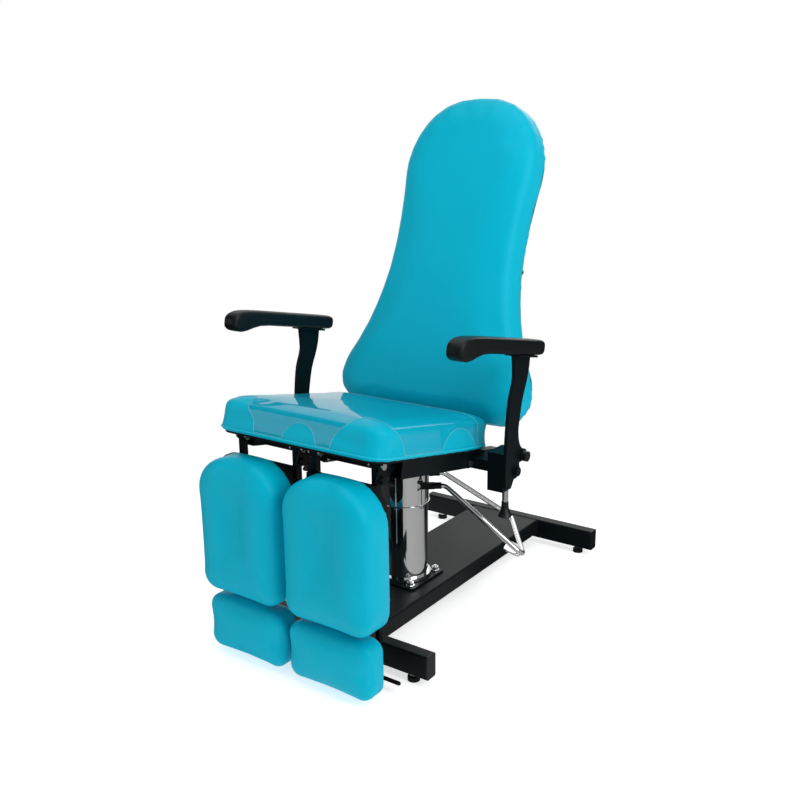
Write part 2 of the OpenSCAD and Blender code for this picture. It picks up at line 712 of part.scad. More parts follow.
// Seat: frame of tubes on the pump's head plate
module box_tube(w, d, h, wall) difference() {
    cube([w, d, h], center = true);
    cube([w + over, d - 2 * wall, h - 2 * wall], center = true);
}
module seat_frame() color(black) {
    difference() {
        on_seat() {
            for (x = [-1, 1]) translate([x * (frame_w - rail_w) / 2, 0, 0]) {
                translate([0, (front_tube_back + rail_back) / 2, board_h - rail_h / 2]) rotate([0, 0, 90])
                    box_tube(rail_back - front_tube_back, rail_w, rail_h, rail_wall);
                translate([0, pivot_back, -pivot_drop]) x_bar(pivot_r + 2 * rail_wall, rail_w, round);
            }
            cross_tube(front_tube_back, front_tube_h);
            cross_tube(pump_tube_front, rail_h);
            cross_tube(pump_tube_rear, rail_h);
        }
        on_seat() translate([0, pivot_back, -pivot_drop]) x_bar(pivot_r + run_gap, frame_w + 2 * over, round);
        for (side = [-1, 1]) at_arm(side) at_bracket_bolts()
            x_pin(bracket_bolt_r + run_gap, frame_w / 2 - rail_wall - over, frame_w / 2 + over, round);
    }
    at_pump() translate([0, 0, shroud_top]) linear_extrude(head_plate_t)
        soft_rect(head_plate_w, head_plate_w, flange_corner_r);
    difference() {
        for (x = [-gusset_x, gusset_x]) at_pump()
            translate([x - gusset_t / 2, -head_plate_w / 2 - gusset_t, shroud_top + head_plate_t])
                cube([gusset_t, head_plate_w, head_plate_w]);
        on_seat() translate([-frame_w, -frame_w, rail_low]) cube(3 * frame_w);
    }
    on_seat() {
        for (x = [-1, 1]) x_plate_at(spring_x + x * (spring_r + side_gap + ear_t / 2), ear_t) spring_hanger();
        translate([lever_x, lever_back, rail_low - lever_drop]) rotate([90, 0, 0]) lever_ears();
    }
}
module cross_tube(back, h) translate([0, back + rail_w / 2, board_h - h / 2])
    box_tube(frame_w - 2 * (rail_w - rail_wall), rail_w, h, rail_wall);
// Two ears under the rail and the pin between them, which the recline lever turns on
module lever_ears() {
    for (z = [-1, 1]) translate([0, 0, z * (lever_r + side_gap + ear_t / 2)])
        linear_extrude(ear_t, center = true) {
            circle(lever_hub_r, $fn = round);
            translate([-lever_hub_r, 0]) square([2 * lever_hub_r, lever_drop]);
        }
    cylinder(r = lever_r / 2, h = 2 * (lever_r + side_gap + ear_t), center = true, $fn = round);
}
module x_plate_at(x, t) x_plate(x - t / 2, x + t / 2) children();
module spring_hanger() difference() {
    union() {
        translate([spring_front, spring_h]) circle(spring_eye_r, $fn = round);
        polygon([
            [spring_front - spring_eye_r * 0.4, spring_h + spring_eye_r * 0.9],
            [pump_tube_front + rail_wall, rail_low + rail_h / 2], [pump_tube_front + rail_wall, rail_low],
            [spring_front + spring_eye_r * 0.4, spring_h - spring_eye_r * 0.9]
        ]);
    }
    translate([spring_front, spring_h]) circle(spring_pin_r + run_gap, $fn = round);
}
module seat_plan(inset) translate([0, (seat_back - seat_overhang) / 2])
    polygon(inwards(pad_outline(seat_w, seat_depth, seat_back_corner_r, seat_corner_r), inset));
module seat_board() color(black) on_seat() translate([0, 0, board_h])
    linear_extrude(seat_board_t) seat_plan(board_inset);
module seat_pad_shape(grow) translate([0, (seat_back - seat_overhang) / 2, seat_drop])
    pad(inwards(pad_outline(seat_w, seat_depth, seat_back_corner_r, seat_corner_r), -grow),
        seat_t + grow, seat_t * 0.3 + grow, board_inset * 0.4, board_inset * 0.7, seat_crown);
module seat_cushion() color(vinyl) on_seat() seat_pad_shape(0);
// Clear skin over the front of the seat, cut into arches along its lower edge
module seat_cover() color(clear) on_seat() difference() {
    seat_pad_shape(cover_gap + cover_t);
    seat_pad_shape(cover_gap);
    translate([-seat_w, -seat_w, -seat_drop]) cube([2 * seat_w, 2 * seat_w, 2 * seat_drop + board_inset * 0.7]);
    translate([-seat_w, side_arch_back + side_arch_r, 0]) cube([2 * seat_w, seat_w, seat_w]);
    translate([front_arch_x, -seat_overhang, seat_drop]) rotate([90, 0, 0])
        cylinder(r = front_arch_r, h = seat_corner_r, center = true, $fn = round);
    for (x = [-1, 1]) {
        translate([x * (seat_w / 2 - corner_arch_in), -seat_overhang - corner_arch_in, seat_drop])
            rotate([0, 90, x > 0 ? -45 : -135]) cylinder(r = corner_arch_r, h = 3 * seat_corner_r, center = true, $fn = round);
        translate([x * seat_w / 2, side_arch_back, seat_drop - side_arch_r * 0.35])
            x_bar(side_arch_r, seat_corner_r, round);
    }
}

// Ears that carry the leg rests, one pair about each tube
module ear(lock) difference() {
    union() {
        circle(ear_r, $fn = round);
        translate([0, -ear_r]) square([front_tube_back, ear_r + board_h - side_gap]);
        if (lock) {
            translate(raked_stud) circle(1.4 * ear_r, $fn = round);
            polygon([
                [-ear_r, 0], raked_stud + 1.4 * ear_r * [-1, 0], raked_stud + 1.4 * ear_r * [0.5, -0.866],
                [front_tube_back, -ear_r], [front_tube_back, 0]
            ]);
        }
    }
    circle(hinge_bolt_r + run_gap, $fn = round);
    if (lock) translate(raked_stud) circle(lock_stud_r + run_gap, $fn = round);
}
module leg_brackets() color(black) on_seat() for (side = [-1, 1], tube = [-1, 1])
    translate([side * leg_x + tube * leg_span / 2, 0, 0]) {
        x_plate(-plate_x - ear_t, -plate_x) ear(false);
        if (tube > 0) x_plate(clamp_x, clamp_x + ear_t) ear(true);
        else x_plate(plate_x, plate_x + ear_t) ear(false);
    }
module leg_bolt(out) {
    x_pin(hinge_bolt_r, -plate_x - ear_t, out + ear_t);
    x_pin(head_r, out + ear_t, out + ear_t + head_h);
    x_pin(head_r, -plate_x - ear_t - head_h, -plate_x - ear_t, 6);
}
// Bright fasteners of the frame: leg hinge bolts, back pivot rod, spring pin, armrest bolts and
// the plungers' collars
module frame_bolts() color(chrome) {
    on_seat() {
        for (side = [-1, 1], tube = [-1, 1]) translate([side * leg_x + tube * leg_span / 2, 0, 0])
            leg_bolt(tube > 0 ? clamp_x : plate_x);
        translate([0, pivot_back, -pivot_drop]) {
            x_bar(pivot_r, frame_w, round);
            for (x = [-1, 1]) translate([x * (frame_w + head_h) / 2, 0, 0]) x_bar(pivot_r * 1.5, head_h);
        }
        translate([spring_x, spring_front, spring_h])
            x_bar(spring_pin_r, 2 * (spring_r + side_gap + ear_t) + head_h);
    }
    for (side = [-1, 1]) at_arm(side) {
        at_bracket_bolts() {
            x_pin(bracket_bolt_r, frame_w / 2 - rail_wall, frame_w / 2 + bracket_t);
            x_pin(head_r * 0.9, frame_w / 2 + bracket_t, frame_w / 2 + bracket_t + head_h, 6);
        }
        translate([plunger_x, -plunger_ahead, -bracket_down - plunger_collar_h]) difference() {
            cylinder(r = plunger_collar_r, h = plunger_collar_h, $fn = round);
            translate([0, 0, -over])
                cylinder(r = plunger_r + run_gap, h = plunger_collar_h + 2 * over, $fn = round);
        }
    }
}
module at_bracket_bolts() for (y = [-bracket_ahead - bracket_flange / 2, bracket_d - bracket_ahead + bracket_flange / 2])
    translate([0, y, (bracket_arm_up + bracket_arm_down) / 2]) children();

// Back: outline as shares of its half width and length, from the foot round to the head
back_shares = [
    [0.74, 0], [0.861, 0.017], [0.953, 0.045], [1, 0.09], [0.986, 0.13], [0.963, 0.158], [0.878, 0.215],
    [0.807, 0.271], [0.753, 0.328], [0.713, 0.384], [0.679, 0.452], [0.666, 0.531], [0.669, 0.61],
    [0.682, 0.678], [0.703, 0.746], [0.703, 0.791], [0.679, 0.836], [0.628, 0.881], [0.554, 0.921],
    [0.473, 0.949], [0.351, 0.977], [0.203, 0.994]
];
back_right_half = [for (s = back_shares) [s[0] * back_w / 2, s[1] * back_l]];
back_left_half = [for (k = [len(back_shares) - 1:-1:0]) [-back_right_half[k][0], back_right_half[k][1]]];
back_outline = concat(back_right_half, [[0, back_l]], back_left_half);
// Children stand on the back's plane: X across, Y up the back, Z towards the sitter
module on_back_plane(behind) on_back() translate([0, behind - back_ahead, back_rise]) rotate([90, 0, 0]) children();
module back_cushion() color(vinyl) on_back_plane(back_t)
    pad(back_outline, back_t, back_t * 0.52, board_inset * 0.5, board_inset * 0.8, back_crown, 0, [0, back_l * 0.45]);
module back_board() color(black) on_back_plane(back_t + back_board_t) difference() {
    linear_extrude(back_board_t) polygon(inwards(back_outline, board_inset));
    on_screws() translate([0, 0, -over]) cylinder(r = screw_r + run_gap, h = screw_l + over, $fn = small);
}
module on_screws() for (x = [-1, 1], k = [0:screw_rows - 1]) translate([
    x * (back_arm_span + strip_w) / 2,
    strip_low - back_rise + strip_w / 2 + k * (arm_plate_top - strip_low - strip_w) / (screw_rows - 1),
    0]) children();
module back_screws() color(chrome) on_back_plane(back_t + back_board_t) on_screws() {
    translate([0, 0, -strip_t - screw_head_h]) cylinder(r = screw_head_r, h = screw_head_h, $fn = small);
    translate([0, 0, -strip_t - screw_head_h / 2]) cylinder(r = screw_r, h = screw_l + strip_t, $fn = small);
}
// Two plate arms with screwed strips, the tube they turn on, and the gas spring's lever
module back_arms() color(black) on_back() difference() {
    union() {
        for (x = [-1, 1]) x_plate_at(x * back_arm_span / 2, arm_plate_t) {
            circle(lobe_r, $fn = round);
            polygon([
                [-lobe_r * 0.75, lobe_r * 0.5], [lobe_r * 0.75, -lobe_r * 0.5],
                [arm_face + arm_plate_d, arm_bend_rise - lobe_r], [arm_face + arm_plate_d, arm_plate_top],
                [arm_face, arm_plate_top], [arm_face, arm_bend_rise]
            ]);
        }
        for (x = [-1, 1]) translate([x * back_arm_span / 2 - (x > 0 ? arm_plate_t / 2 : strip_w - arm_plate_t / 2),
            arm_face, strip_low]) cube([strip_w, strip_t, arm_plate_top - strip_low]);
        x_bar(torsion_r, back_arm_span, round);
        x_plate_at(spring_x, spring_lever_t) rotate([0, 0, spring_lever_turn]) {
            circle(torsion_r + spring_slot_gap, $fn = round);
            translate([0, -spring_lever_w]) square([spring_lever_r, 2 * spring_lever_w]);
            translate([spring_lever_r, 0]) circle(spring_lever_w, $fn = round);
        }
    }
    x_bar(pivot_r + run_gap, back_arm_span + 2 * lobe_r, round);
    translate([0, rail_behind, back_rail_rise]) x_bar(back_rail_r + run_gap, back_arm_span + 2 * lobe_r, round);
    x_plate_at(spring_x, spring_lever_t + 2 * over) rotate([0, 0, spring_lever_turn]) lever_slot();
    translate([0, arm_face, back_rise]) rotate([90, 0, 0]) on_screws() translate([0, 0, -strip_t - over])
        cylinder(r = screw_r + bolt_gap, h = strip_t + 2 * over, $fn = small);
}
// Slot along the lever that takes up the pin's change of reach as the back swings
module lever_slot() {
    near = spring_lever_r * cos(spring_swing / 2);
    for (d = [near - spring_slot_gap, spring_lever_r])
        translate([d, 0]) circle(spring_pin_r + spring_slot_gap, $fn = round);
    translate([near - spring_slot_gap, -spring_pin_r - spring_slot_gap])
        square([spring_lever_r - near + spring_slot_gap, 2 * (spring_pin_r + spring_slot_gap)]);
}
module back_rail() color(black) on_back() translate([0, rail_behind, back_rail_rise])
    x_bar(back_rail_r, back_rail_l - 2 * rail_cap_l, round);
module back_rail_caps() color(rubber) on_back() translate([0, rail_behind, back_rail_rise]) for (x = [-1, 1])
        mirror([x < 0 ? 1 : 0, 0, 0]) {
            x_pin(back_rail_r, back_rail_l / 2 - rail_cap_l, back_rail_l / 2 - back_rail_r, round);
            translate([back_rail_l / 2 - back_rail_r, 0, 0]) sphere(back_rail_r, $fn = small);
        }

// Locking gas spring between the seat frame and the back's lever
module at_spring(d) on_seat() translate([spring_x, d, spring_h]) rotate([-90, 0, 0]) children();
module gas_spring_tube() color(black) {
    at_spring(spring_front + spring_eye_r - spring_wall) difference() {
        cylinder(r = spring_r, h = spring_tube_l, $fn = round);
        translate([0, 0, spring_end_t])
            cylinder(r = spring_r - spring_wall, h = spring_tube_l - 2 * spring_end_t, $fn = round);
        translate([0, 0, spring_end_t]) cylinder(r = spring_rod_r + run_gap, h = spring_tube_l, $fn = round);
    }
    on_seat() translate([spring_x, spring_front, spring_h]) difference() {
        x_bar(spring_eye_r, 2 * spring_r, round);
        x_bar(spring_pin_r + run_gap, 2 * spring_r + 2 * over, round);
    }
}
module gas_spring_rod() color(chrome) {
    rod_end = spring_reach - spring_fork_l;
    tail = spring_front + spring_eye_r + spring_tube_l / 2;
    at_spring(tail) cylinder(r = spring_rod_r, h = rod_end - tail + over, $fn = round);
    at_spring(tail) cylinder(r = spring_r - spring_wall - side_gap, h = spring_end_t, $fn = round);
    on_seat() translate([spring_x, spring_reach, spring_h]) {
        w = spring_lever_t + 2 * side_gap;
        for (x = [-1, 1]) x_plate_at(x * (w + spring_cheek_t) / 2, spring_cheek_t) {
            circle(spring_eye_r, $fn = round);
            translate([-spring_fork_l, -spring_eye_r]) square([spring_fork_l, 2 * spring_eye_r]);
        }
        x_plate_at(0, w + spring_cheek_t)
            translate([-spring_fork_l, -spring_eye_r]) square([spring_cheek_t, 2 * spring_eye_r]);
        x_bar(spring_pin_r, w + 2 * spring_cheek_t, round);
    }
}
// Hand lever under the seat that frees the gas spring
module recline_lever() color(black) on_seat() translate([lever_x, lever_back, rail_low - lever_drop])
    difference() {
        union() {
            rotate([90, 0, 0]) cylinder(r = lever_r * 1.5, h = 2 * lever_r, center = true, $fn = round);
            x_pin(lever_r, -lever_outer_l - lever_grip_l / 2, lever_inner_l);
            x_pin(lever_grip_r, -lever_outer_l - lever_grip_l, -lever_outer_l, round);
            translate([-lever_outer_l - lever_grip_l, 0, 0]) sphere(lever_grip_r, $fn = small);
        }
        rotate([90, 0, 0])
            cylinder(r = lever_r / 2 + run_gap, h = 4 * lever_r, center = true, $fn = round);
    }

// Leg rests: link that swings on the frame, tubes that slide on it, pads, sliding heel pad
module bar_in_tube(from, to) translate([-link_w / 2, -link_d / 2, to]) cube([link_w, link_d, from - to]);
module leg_link(side) color(dark) at_leg(side) difference() {
    union() {
        for (x = [-1, 1] * leg_span / 2) translate([x, 0, 0]) {
            x_bar(leg_tube_d / 2, leg_tube_w, round);
            translate([-leg_tube_w / 2, -leg_tube_d / 2, -head_drop]) cube([leg_tube_w, leg_tube_d, head_drop]);
            bar_in_tube(-head_drop / 2, -link_l);
        }
        translate([leg_span / 2, 0, 0]) {
            x_pin(ear_r, 0, plate_x + lock_plate_t, round);
            x_plate(plate_x, plate_x + lock_plate_t) lock_plate();
        }
    }
    translate([leg_span / 2, 0, 0]) x_bar(hinge_bolt_r + run_gap, 4 * lock_plate_r, round);
    translate([-leg_span / 2, 0, 0]) x_bar(hinge_bolt_r + run_gap, 2 * leg_tube_w, round);
}
// Quadrant with the arc slot that the clamp's stud runs in, drawn in (Y, Z)
module lock_plate() difference() {
    sector(lock_plate_r, lock_turn - 90 - lock_margin, leg_swing + 2 * lock_margin);
    difference() {
        sector(lock_r + lock_stud_r + lock_slot_gap, -90 + lock_turn, leg_swing);
        circle(lock_r - lock_stud_r - lock_slot_gap, $fn = fine);
    }
    for (a = [0, leg_swing]) rotate(a - 90 + lock_turn) translate([lock_r, 0])
        circle(lock_stud_r + 2 * lock_slot_gap, $fn = small);
}
module sector(r, from, sweep) intersection() {
    circle(r, $fn = fine);
    polygon(concat([[0, 0]], [for (k = [0:4]) 2 * r * [cos(from + sweep * k / 4), sin(from + sweep * k / 4)]]));
}
module leg_link_left() leg_link(1);
module leg_link_right() leg_link(-1);
module leg_frame(side) color(black) at_leg(side) difference() {
    union() {
        for (x = [-1, 1] * leg_span / 2) translate([x - leg_tube_w / 2, -leg_tube_d / 2, -leg_tube_l])
            cube([leg_tube_w, leg_tube_d, leg_tube_l - head_drop - soft_gap]);
        for (z = [spacer_top, spacer_low])
            translate([0, -(leg_tube_d + spacer_d) / 2, -z - spacer_h / 2])
                box_tube(leg_span + leg_tube_w, spacer_d, spacer_h, spacer_wall);
    }
    for (x = [-1, 1] * leg_span / 2)
        translate([x - leg_tube_w / 2 + leg_tube_wall, leg_tube_wall - leg_tube_d / 2, -leg_tube_l - over])
            cube([leg_tube_w - 2 * leg_tube_wall, leg_tube_d - 2 * leg_tube_wall, leg_tube_l + over]);
    translate([leg_span / 2, 0, -heel_knob_drop]) rotate([-90, 0, 0])
        cylinder(r = heel_screw_r + run_gap, h = leg_tube_d, $fn = round);
}
module leg_frame_left() leg_frame(1);
module leg_frame_right() leg_frame(-1);
// Children stand on an upright board's face: X across, Y up, Z towards the front
module on_calf(side, back) at_hinge() translate([side * (calf_gap + calf_w / 2), -back, -calf_drop - calf_h / 2])
    rotate([90, 0, 0]) children();
module on_heel(side, back) at_hinge() translate([side * (heel_gap + heel_w / 2), -back, -heel_drop - heel_h / 2])
    rotate([90, 0, 0]) children();
module calf_board(side) color(black) on_calf(side, calf_back - calf_board_t) linear_extrude(calf_board_t)
    polygon(inwards(pad_outline(calf_w, calf_h, calf_w * 0.25, calf_w * 0.16), board_inset));
module calf_board_left() calf_board(1);
module calf_board_right() calf_board(-1);
module calf_pad(side) color(vinyl) on_calf(side, calf_back)
    pad(pad_outline(calf_w, calf_h, calf_w * 0.35, calf_w * 0.19), calf_t, calf_t * 0.4, board_inset * 0.4,
        board_inset * 0.6, calf_crown, calf_hollow);
module calf_pad_left() calf_pad(1);
module calf_pad_right() calf_pad(-1);
module heel_slider(side) color(black) at_leg(side) {
    for (x = [-1, 1] * leg_span / 2) translate([x, 0, 0])
        bar_in_tube(-heel_bar_top, -heel_rod_drop - heel_bar_end);
    translate([0, -(heel_back - heel_board_t + link_d / 2) / 2, -heel_spacer_drop - spacer_h / 2])
        box_tube(leg_span + link_w, heel_back - heel_board_t - link_d / 2, spacer_h, spacer_wall);
    translate([0, 0, -heel_rod_drop]) mirror([side < 0 ? 1 : 0, 0, 0]) {
        x_pin(heel_rod_r, -leg_span / 2, (leg_span + leg_tube_w) / 2 + heel_rod_reach - heel_rod_r);
        translate([(leg_span + leg_tube_w) / 2 + heel_rod_reach - heel_rod_r, 0, 0]) sphere(heel_rod_r, $fn = small);
    }
}
module heel_slider_left() heel_slider(1);
module heel_slider_right() heel_slider(-1);
module heel_board(side) color(black) on_heel(side, heel_back - heel_board_t) linear_extrude(heel_board_t)
    polygon(inwards(pad_outline(heel_w, heel_h, heel_h * 0.22, heel_h * 0.22), board_inset));
module heel_board_left() heel_board(1);
module heel_board_right() heel_board(-1);
module heel_pad(side) color(vinyl) on_heel(side, heel_back)
    pad(pad_outline(heel_w, heel_h, heel_h * 0.24, heel_h * 0.24), heel_t, heel_t * 0.42, board_inset * 0.35,
        board_inset * 0.5, heel_crown);
module heel_pad_left() heel_pad(1);
module heel_pad_right() heel_pad(-1);
// Thumb screw through the back of a leg tube, just short of the heel pad's bar
module heel_knob(side) color(black) at_leg(side) translate([leg_span / 2, 0, -heel_knob_drop])
    rotate([-90, 0, 0]) {
        translate([0, 0, link_d / 2 + soft_gap])
            cylinder(r = heel_screw_r, h = leg_tube_d / 2 + heel_knob_h - link_d / 2, $fn = small);
        translate([0, 0, leg_tube_d / 2 + side_gap]) {
            cylinder(r = heel_knob_r * 0.6, h = heel_knob_h / 2, $fn = small);
            translate([0, 0, heel_knob_h / 2]) cylinder(r = heel_knob_r, h = heel_knob_h, $fn = small);
        }
    }
module heel_knob_left() heel_knob(1);
module heel_knob_right() heel_knob(-1);
// Clamp: stud through the ear into the quadrant's slot, hub and handle
module leg_clamp(side) color(black) at_leg(side) translate([leg_span / 2, stud[0], stud[1]]) {
    hub_x = clamp_x + ear_t + slider_gap;
    x_pin(lock_stud_r, plate_x + slider_gap, hub_x + lock_hub_h);
    x_pin(lock_hub_r, hub_x, hub_x + lock_hub_h, round);
    translate([hub_x + lock_hub_h / 2, 0, 0]) rotate([-90 - lock_handle_drop, 0, 0]) {
        cylinder(r1 = lock_handle_r * 0.8, r2 = lock_handle_r, h = lock_handle_l, $fn = small);
        translate([0, 0, lock_handle_l]) sphere(lock_handle_r, $fn = small);
    }
}
module leg_clamp_left() leg_clamp(1);
module leg_clamp_right() leg_clamp(-1);

// Armrests: bracket on the rail, curved upright on its shaft, pad, lock knob, plunger
module armrest_bracket(side) at_arm(side) difference() {
    rear = bracket_d - bracket_ahead;
    foot = -plunger_ahead + plunger_collar_r + bracket_t;
    arm_l = bracket_in + bracket_t - frame_w / 2;
    union() {
        x_plate(bracket_out - bracket_t, bracket_out) polygon([
            [-bracket_ahead, -bracket_down], [foot, -bracket_down], [rear, -bracket_t], [rear, bracket_up],
            [-bracket_ahead, bracket_up]
        ]);
        x_plate(bracket_in, bracket_in + bracket_t) translate([-bracket_ahead, -bracket_down / 2])
            square([bracket_d, bracket_up + bracket_down / 2]);
        translate([bracket_in, -bracket_ahead, -bracket_down])
            cube([bracket_out_w, bracket_t, bracket_up + bracket_down]);
        translate([bracket_in, -bracket_ahead, bracket_up - bracket_t]) cube([bracket_out_w, bracket_d, bracket_t]);
        translate([bracket_in, -bracket_ahead, -bracket_down]) cube([bracket_out_w, foot + bracket_ahead, bracket_t]);
        translate([frame_w / 2 + arm_l / 2, rear - bracket_d / 2, (bracket_arm_up + bracket_arm_down) / 2])
            box_tube(arm_l, bracket_d, bracket_arm_up - bracket_arm_down, bracket_t);
        translate([frame_w / 2, -bracket_ahead - bracket_flange, bracket_arm_down + bracket_t])
            cube([bracket_t, bracket_d + 2 * bracket_flange, bracket_arm_up - bracket_arm_down - 2 * bracket_t]);
    }
    x_bar(arm_shaft_r + run_gap, 2 * arm_span, round);
    translate([plunger_x, -plunger_ahead, -2 * bracket_down])
        cylinder(r = plunger_r + run_gap, h = 2 * bracket_down, $fn = round);
    at_bracket_bolts() x_pin(bracket_bolt_r + run_gap, frame_w / 2 - over, frame_w / 2 + bracket_t + over, round);
}
module armrest_brackets() color(black) for (side = [-1, 1]) armrest_bracket(side);
// Side view of an upright, as shares of its height above the pivot, in (Y, Z)
upright_shares = [
    [-0.164, -0.106], [-0.068, -0.072], [0.05, -0.055], [0.075, 0], [0.064, 0.06], [0.17, 0.06], [0.185, 0.14],
    [0.1, 0.18], [0.052, 0.25], [0.036, 0.34], [0.048, 0.418], [0.092, 0.596], [0.171, 0.767], [0.21, 0.92],
    [0.21, 1.1], [-0.048, 1.1], [-0.048, 0.818], [-0.11, 0.647], [-0.14, 0.469], [-0.161, 0.212]
];
module on_arm_pad() translate([0, arm_pad_back, upright_h - arm_pad_back * tan(seat_rake)])
    rotate([-seat_rake, 0, 0]) children();
module upright(side) color(black) at_arm(side) difference() {
    union() {
        difference() {
            x_plate(upright_x, upright_x + upright_t) polygon(curve(upright_h * upright_shares, 3));
            on_arm_pad() translate([0, -2 * arm_pad_l, 0]) cube([arm_span, 3 * arm_pad_l, arm_pad_l]);
        }
        on_arm_pad() translate([upright_x + (upright_t - arm_top_plate_w) / 2,
            -arm_pad_back - arm_top_plate_l / 4, -arm_top_plate_t])
                cube([arm_top_plate_w, arm_top_plate_l, arm_top_plate_t]);
        x_pin(arm_shaft_r, bracket_in - arm_washer_t, upright_x + upright_t + arm_cap_h, round);
        x_pin(arm_washer_r, upright_x + upright_t, upright_x + upright_t + arm_washer_t, round);
        x_pin(arm_washer_r * 0.7, upright_x + upright_t, upright_x + upright_t + arm_cap_h, round);
        x_plate_at(plunger_x, arm_disc_t) stop_disc();
    }
    translate([0, lock_knob_back, lock_knob_up])
        x_pin(lock_screw_r + run_gap, upright_x - over, upright_x + upright_t + over, round);
}
// Disc with its rim cut back where the plunger's pin stands, over the whole swing
module stop_disc() {
    far = atan2(plunger_ahead + plunger_r, plunger_reach);
    near = asin((plunger_ahead - plunger_r) / arm_disc_r);
    circle(arm_hub_r, $fn = round);
    difference() {
        circle(arm_disc_r, $fn = round);
        sector(2 * arm_disc_r, 270 - far - arm_stop_margin, arm_swing + far - near + 2 * arm_stop_margin);
    }
}
module upright_left() upright(1);
module upright_right() upright(-1);
// Sections of an armrest pad: share of its length forwards, underside and top in shares of its thickness,
// share of its width
arm_pad_shares = [
    [0, 0.3, 0.62, 0.7], [0.006, 0.14, 0.84, 0.88], [0.022, 0.04, 0.95, 0.97], [0.055, 0, 1, 1], [0.66, 0, 1, 1],
    [0.75, -0.06, 0.99, 1], [0.82, -0.24, 0.975, 1], [0.87, -0.42, 0.94, 1], [0.92, -0.52, 0.86, 0.99],
    [0.96, -0.46, 0.71, 0.95], [0.985, -0.32, 0.52, 0.86], [1, -0.12, 0.28, 0.6]
];
module arm_pad(side) color(rubber) at_arm(side) on_arm_pad()
    translate([arm_span / 2 - arm_pad_w / 2, 0, soft_gap]) rotate([90, 0, 90]) {
        rings = [for (s = arm_pad_shares) let (r = arm_pad_edge * s[3] * s[3], mid = arm_pad_t * (s[1] + s[2]) / 2)
            [for (p = pad_outline(arm_pad_w * s[3], arm_pad_t * (s[2] - s[1]), r, r, 4))
                [-s[0] * arm_pad_l, mid + p[1], arm_pad_w / 2 + p[0]]]];
        first = arm_pad_shares[0];
        last = arm_pad_shares[len(arm_pad_shares) - 1];
        skin(rings, [0, arm_pad_t * (first[1] + first[2]) / 2, arm_pad_w / 2],
            [-last[0] * arm_pad_l, arm_pad_t * (last[1] + last[2]) / 2, arm_pad_w / 2]);
    }
module arm_pad_left() arm_pad(1);
module arm_pad_right() arm_pad(-1);
module arm_knob(side) color(black) at_arm(side) translate([0, lock_knob_back, lock_knob_up]) {
    x_pin(lock_screw_r, upright_x + side_gap, upright_x + upright_t + lock_knob_h);
    x_pin(lock_knob_r, upright_x + upright_t + side_gap, upright_x + upright_t + lock_knob_h, round);
}
module arm_knob_left() arm_knob(1);
module arm_knob_right() arm_knob(-1);
// Pull knob and pin of the plunger, shaped like a trumpet's bell
module arm_plunger(side) color(black) at_arm(side) translate([plunger_x, -plunger_ahead, -plunger_reach]) {
    drop = bracket_down + plunger_collar_h + side_gap - plunger_reach;
    translate([0, 0, -drop]) cylinder(r = plunger_r, h = drop, $fn = round);
    translate([0, 0, -drop - plunger_knob_h]) rotate_extrude($fn = round) polygon([
        [0, 0], [plunger_knob_r * 0.9, 0], [plunger_knob_r, plunger_knob_h * 0.08],
        [plunger_knob_r * 0.8, plunger_knob_h * 0.25], [plunger_neck_r * 1.1, plunger_knob_h * 0.55],
        [plunger_neck_r, plunger_knob_h * 0.8], [plunger_neck_r, plunger_knob_h], [0, plunger_knob_h]
    ]);
}
module arm_plunger_left() arm_plunger(1);
module arm_plunger_right() arm_plunger(-1);

front_crossbar();
rear_crossbar();
crossbar_caps();
base_channel();
base_fasteners();
foot_front_left();
foot_front_right();
foot_rear_left();
foot_rear_right();
pump_flange();
pump_body();
pump_bush();
pump_ram();
pump_shroud();
pedal_shaft();
pedal_arms();
pedal_loop();
seat_frame();
seat_board();
seat_cushion();
seat_cover();
leg_brackets();
frame_bolts();
back_cushion();
back_board();
back_arms();
back_rail();
back_rail_caps();
back_screws();
gas_spring_tube();
gas_spring_rod();
recline_lever();
leg_link_left();
leg_link_right();
leg_frame_left();
leg_frame_right();
calf_board_left();
calf_board_right();
calf_pad_left();
calf_pad_right();
heel_slider_left();
heel_slider_right();
heel_board_left();
heel_board_right();
heel_pad_left();
heel_pad_right();
heel_knob_left();
heel_knob_right();
leg_clamp_left();
leg_clamp_right();
armrest_brackets();
upright_left();
upright_right();
arm_pad_left();
arm_pad_right();
arm_knob_left();
arm_knob_right();
arm_plunger_left();
arm_plunger_right();
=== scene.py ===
import json
import math

import bmesh
import bpy
import numpy as np
from mathutils import Matrix, Vector
from mathutils.bvhtree import BVHTree


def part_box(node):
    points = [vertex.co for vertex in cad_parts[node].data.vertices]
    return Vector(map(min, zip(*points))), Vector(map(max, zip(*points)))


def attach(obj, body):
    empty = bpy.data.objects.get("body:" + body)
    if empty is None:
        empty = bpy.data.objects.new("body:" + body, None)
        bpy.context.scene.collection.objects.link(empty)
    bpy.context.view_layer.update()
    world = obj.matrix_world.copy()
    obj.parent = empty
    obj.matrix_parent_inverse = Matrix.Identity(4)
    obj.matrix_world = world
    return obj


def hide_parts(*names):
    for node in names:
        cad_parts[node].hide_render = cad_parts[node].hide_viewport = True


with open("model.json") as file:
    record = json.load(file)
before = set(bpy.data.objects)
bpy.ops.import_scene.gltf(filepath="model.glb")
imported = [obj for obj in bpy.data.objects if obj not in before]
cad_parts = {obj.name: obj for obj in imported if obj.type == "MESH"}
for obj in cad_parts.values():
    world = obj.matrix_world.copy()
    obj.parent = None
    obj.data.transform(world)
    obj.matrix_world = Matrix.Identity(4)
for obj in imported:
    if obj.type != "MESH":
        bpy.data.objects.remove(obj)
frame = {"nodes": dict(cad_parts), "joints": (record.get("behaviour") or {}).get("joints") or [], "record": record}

MM = 0.001
nodes = frame["nodes"]
joints = {j["name"]: j for j in frame["joints"]}
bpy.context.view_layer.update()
scene = bpy.context.scene

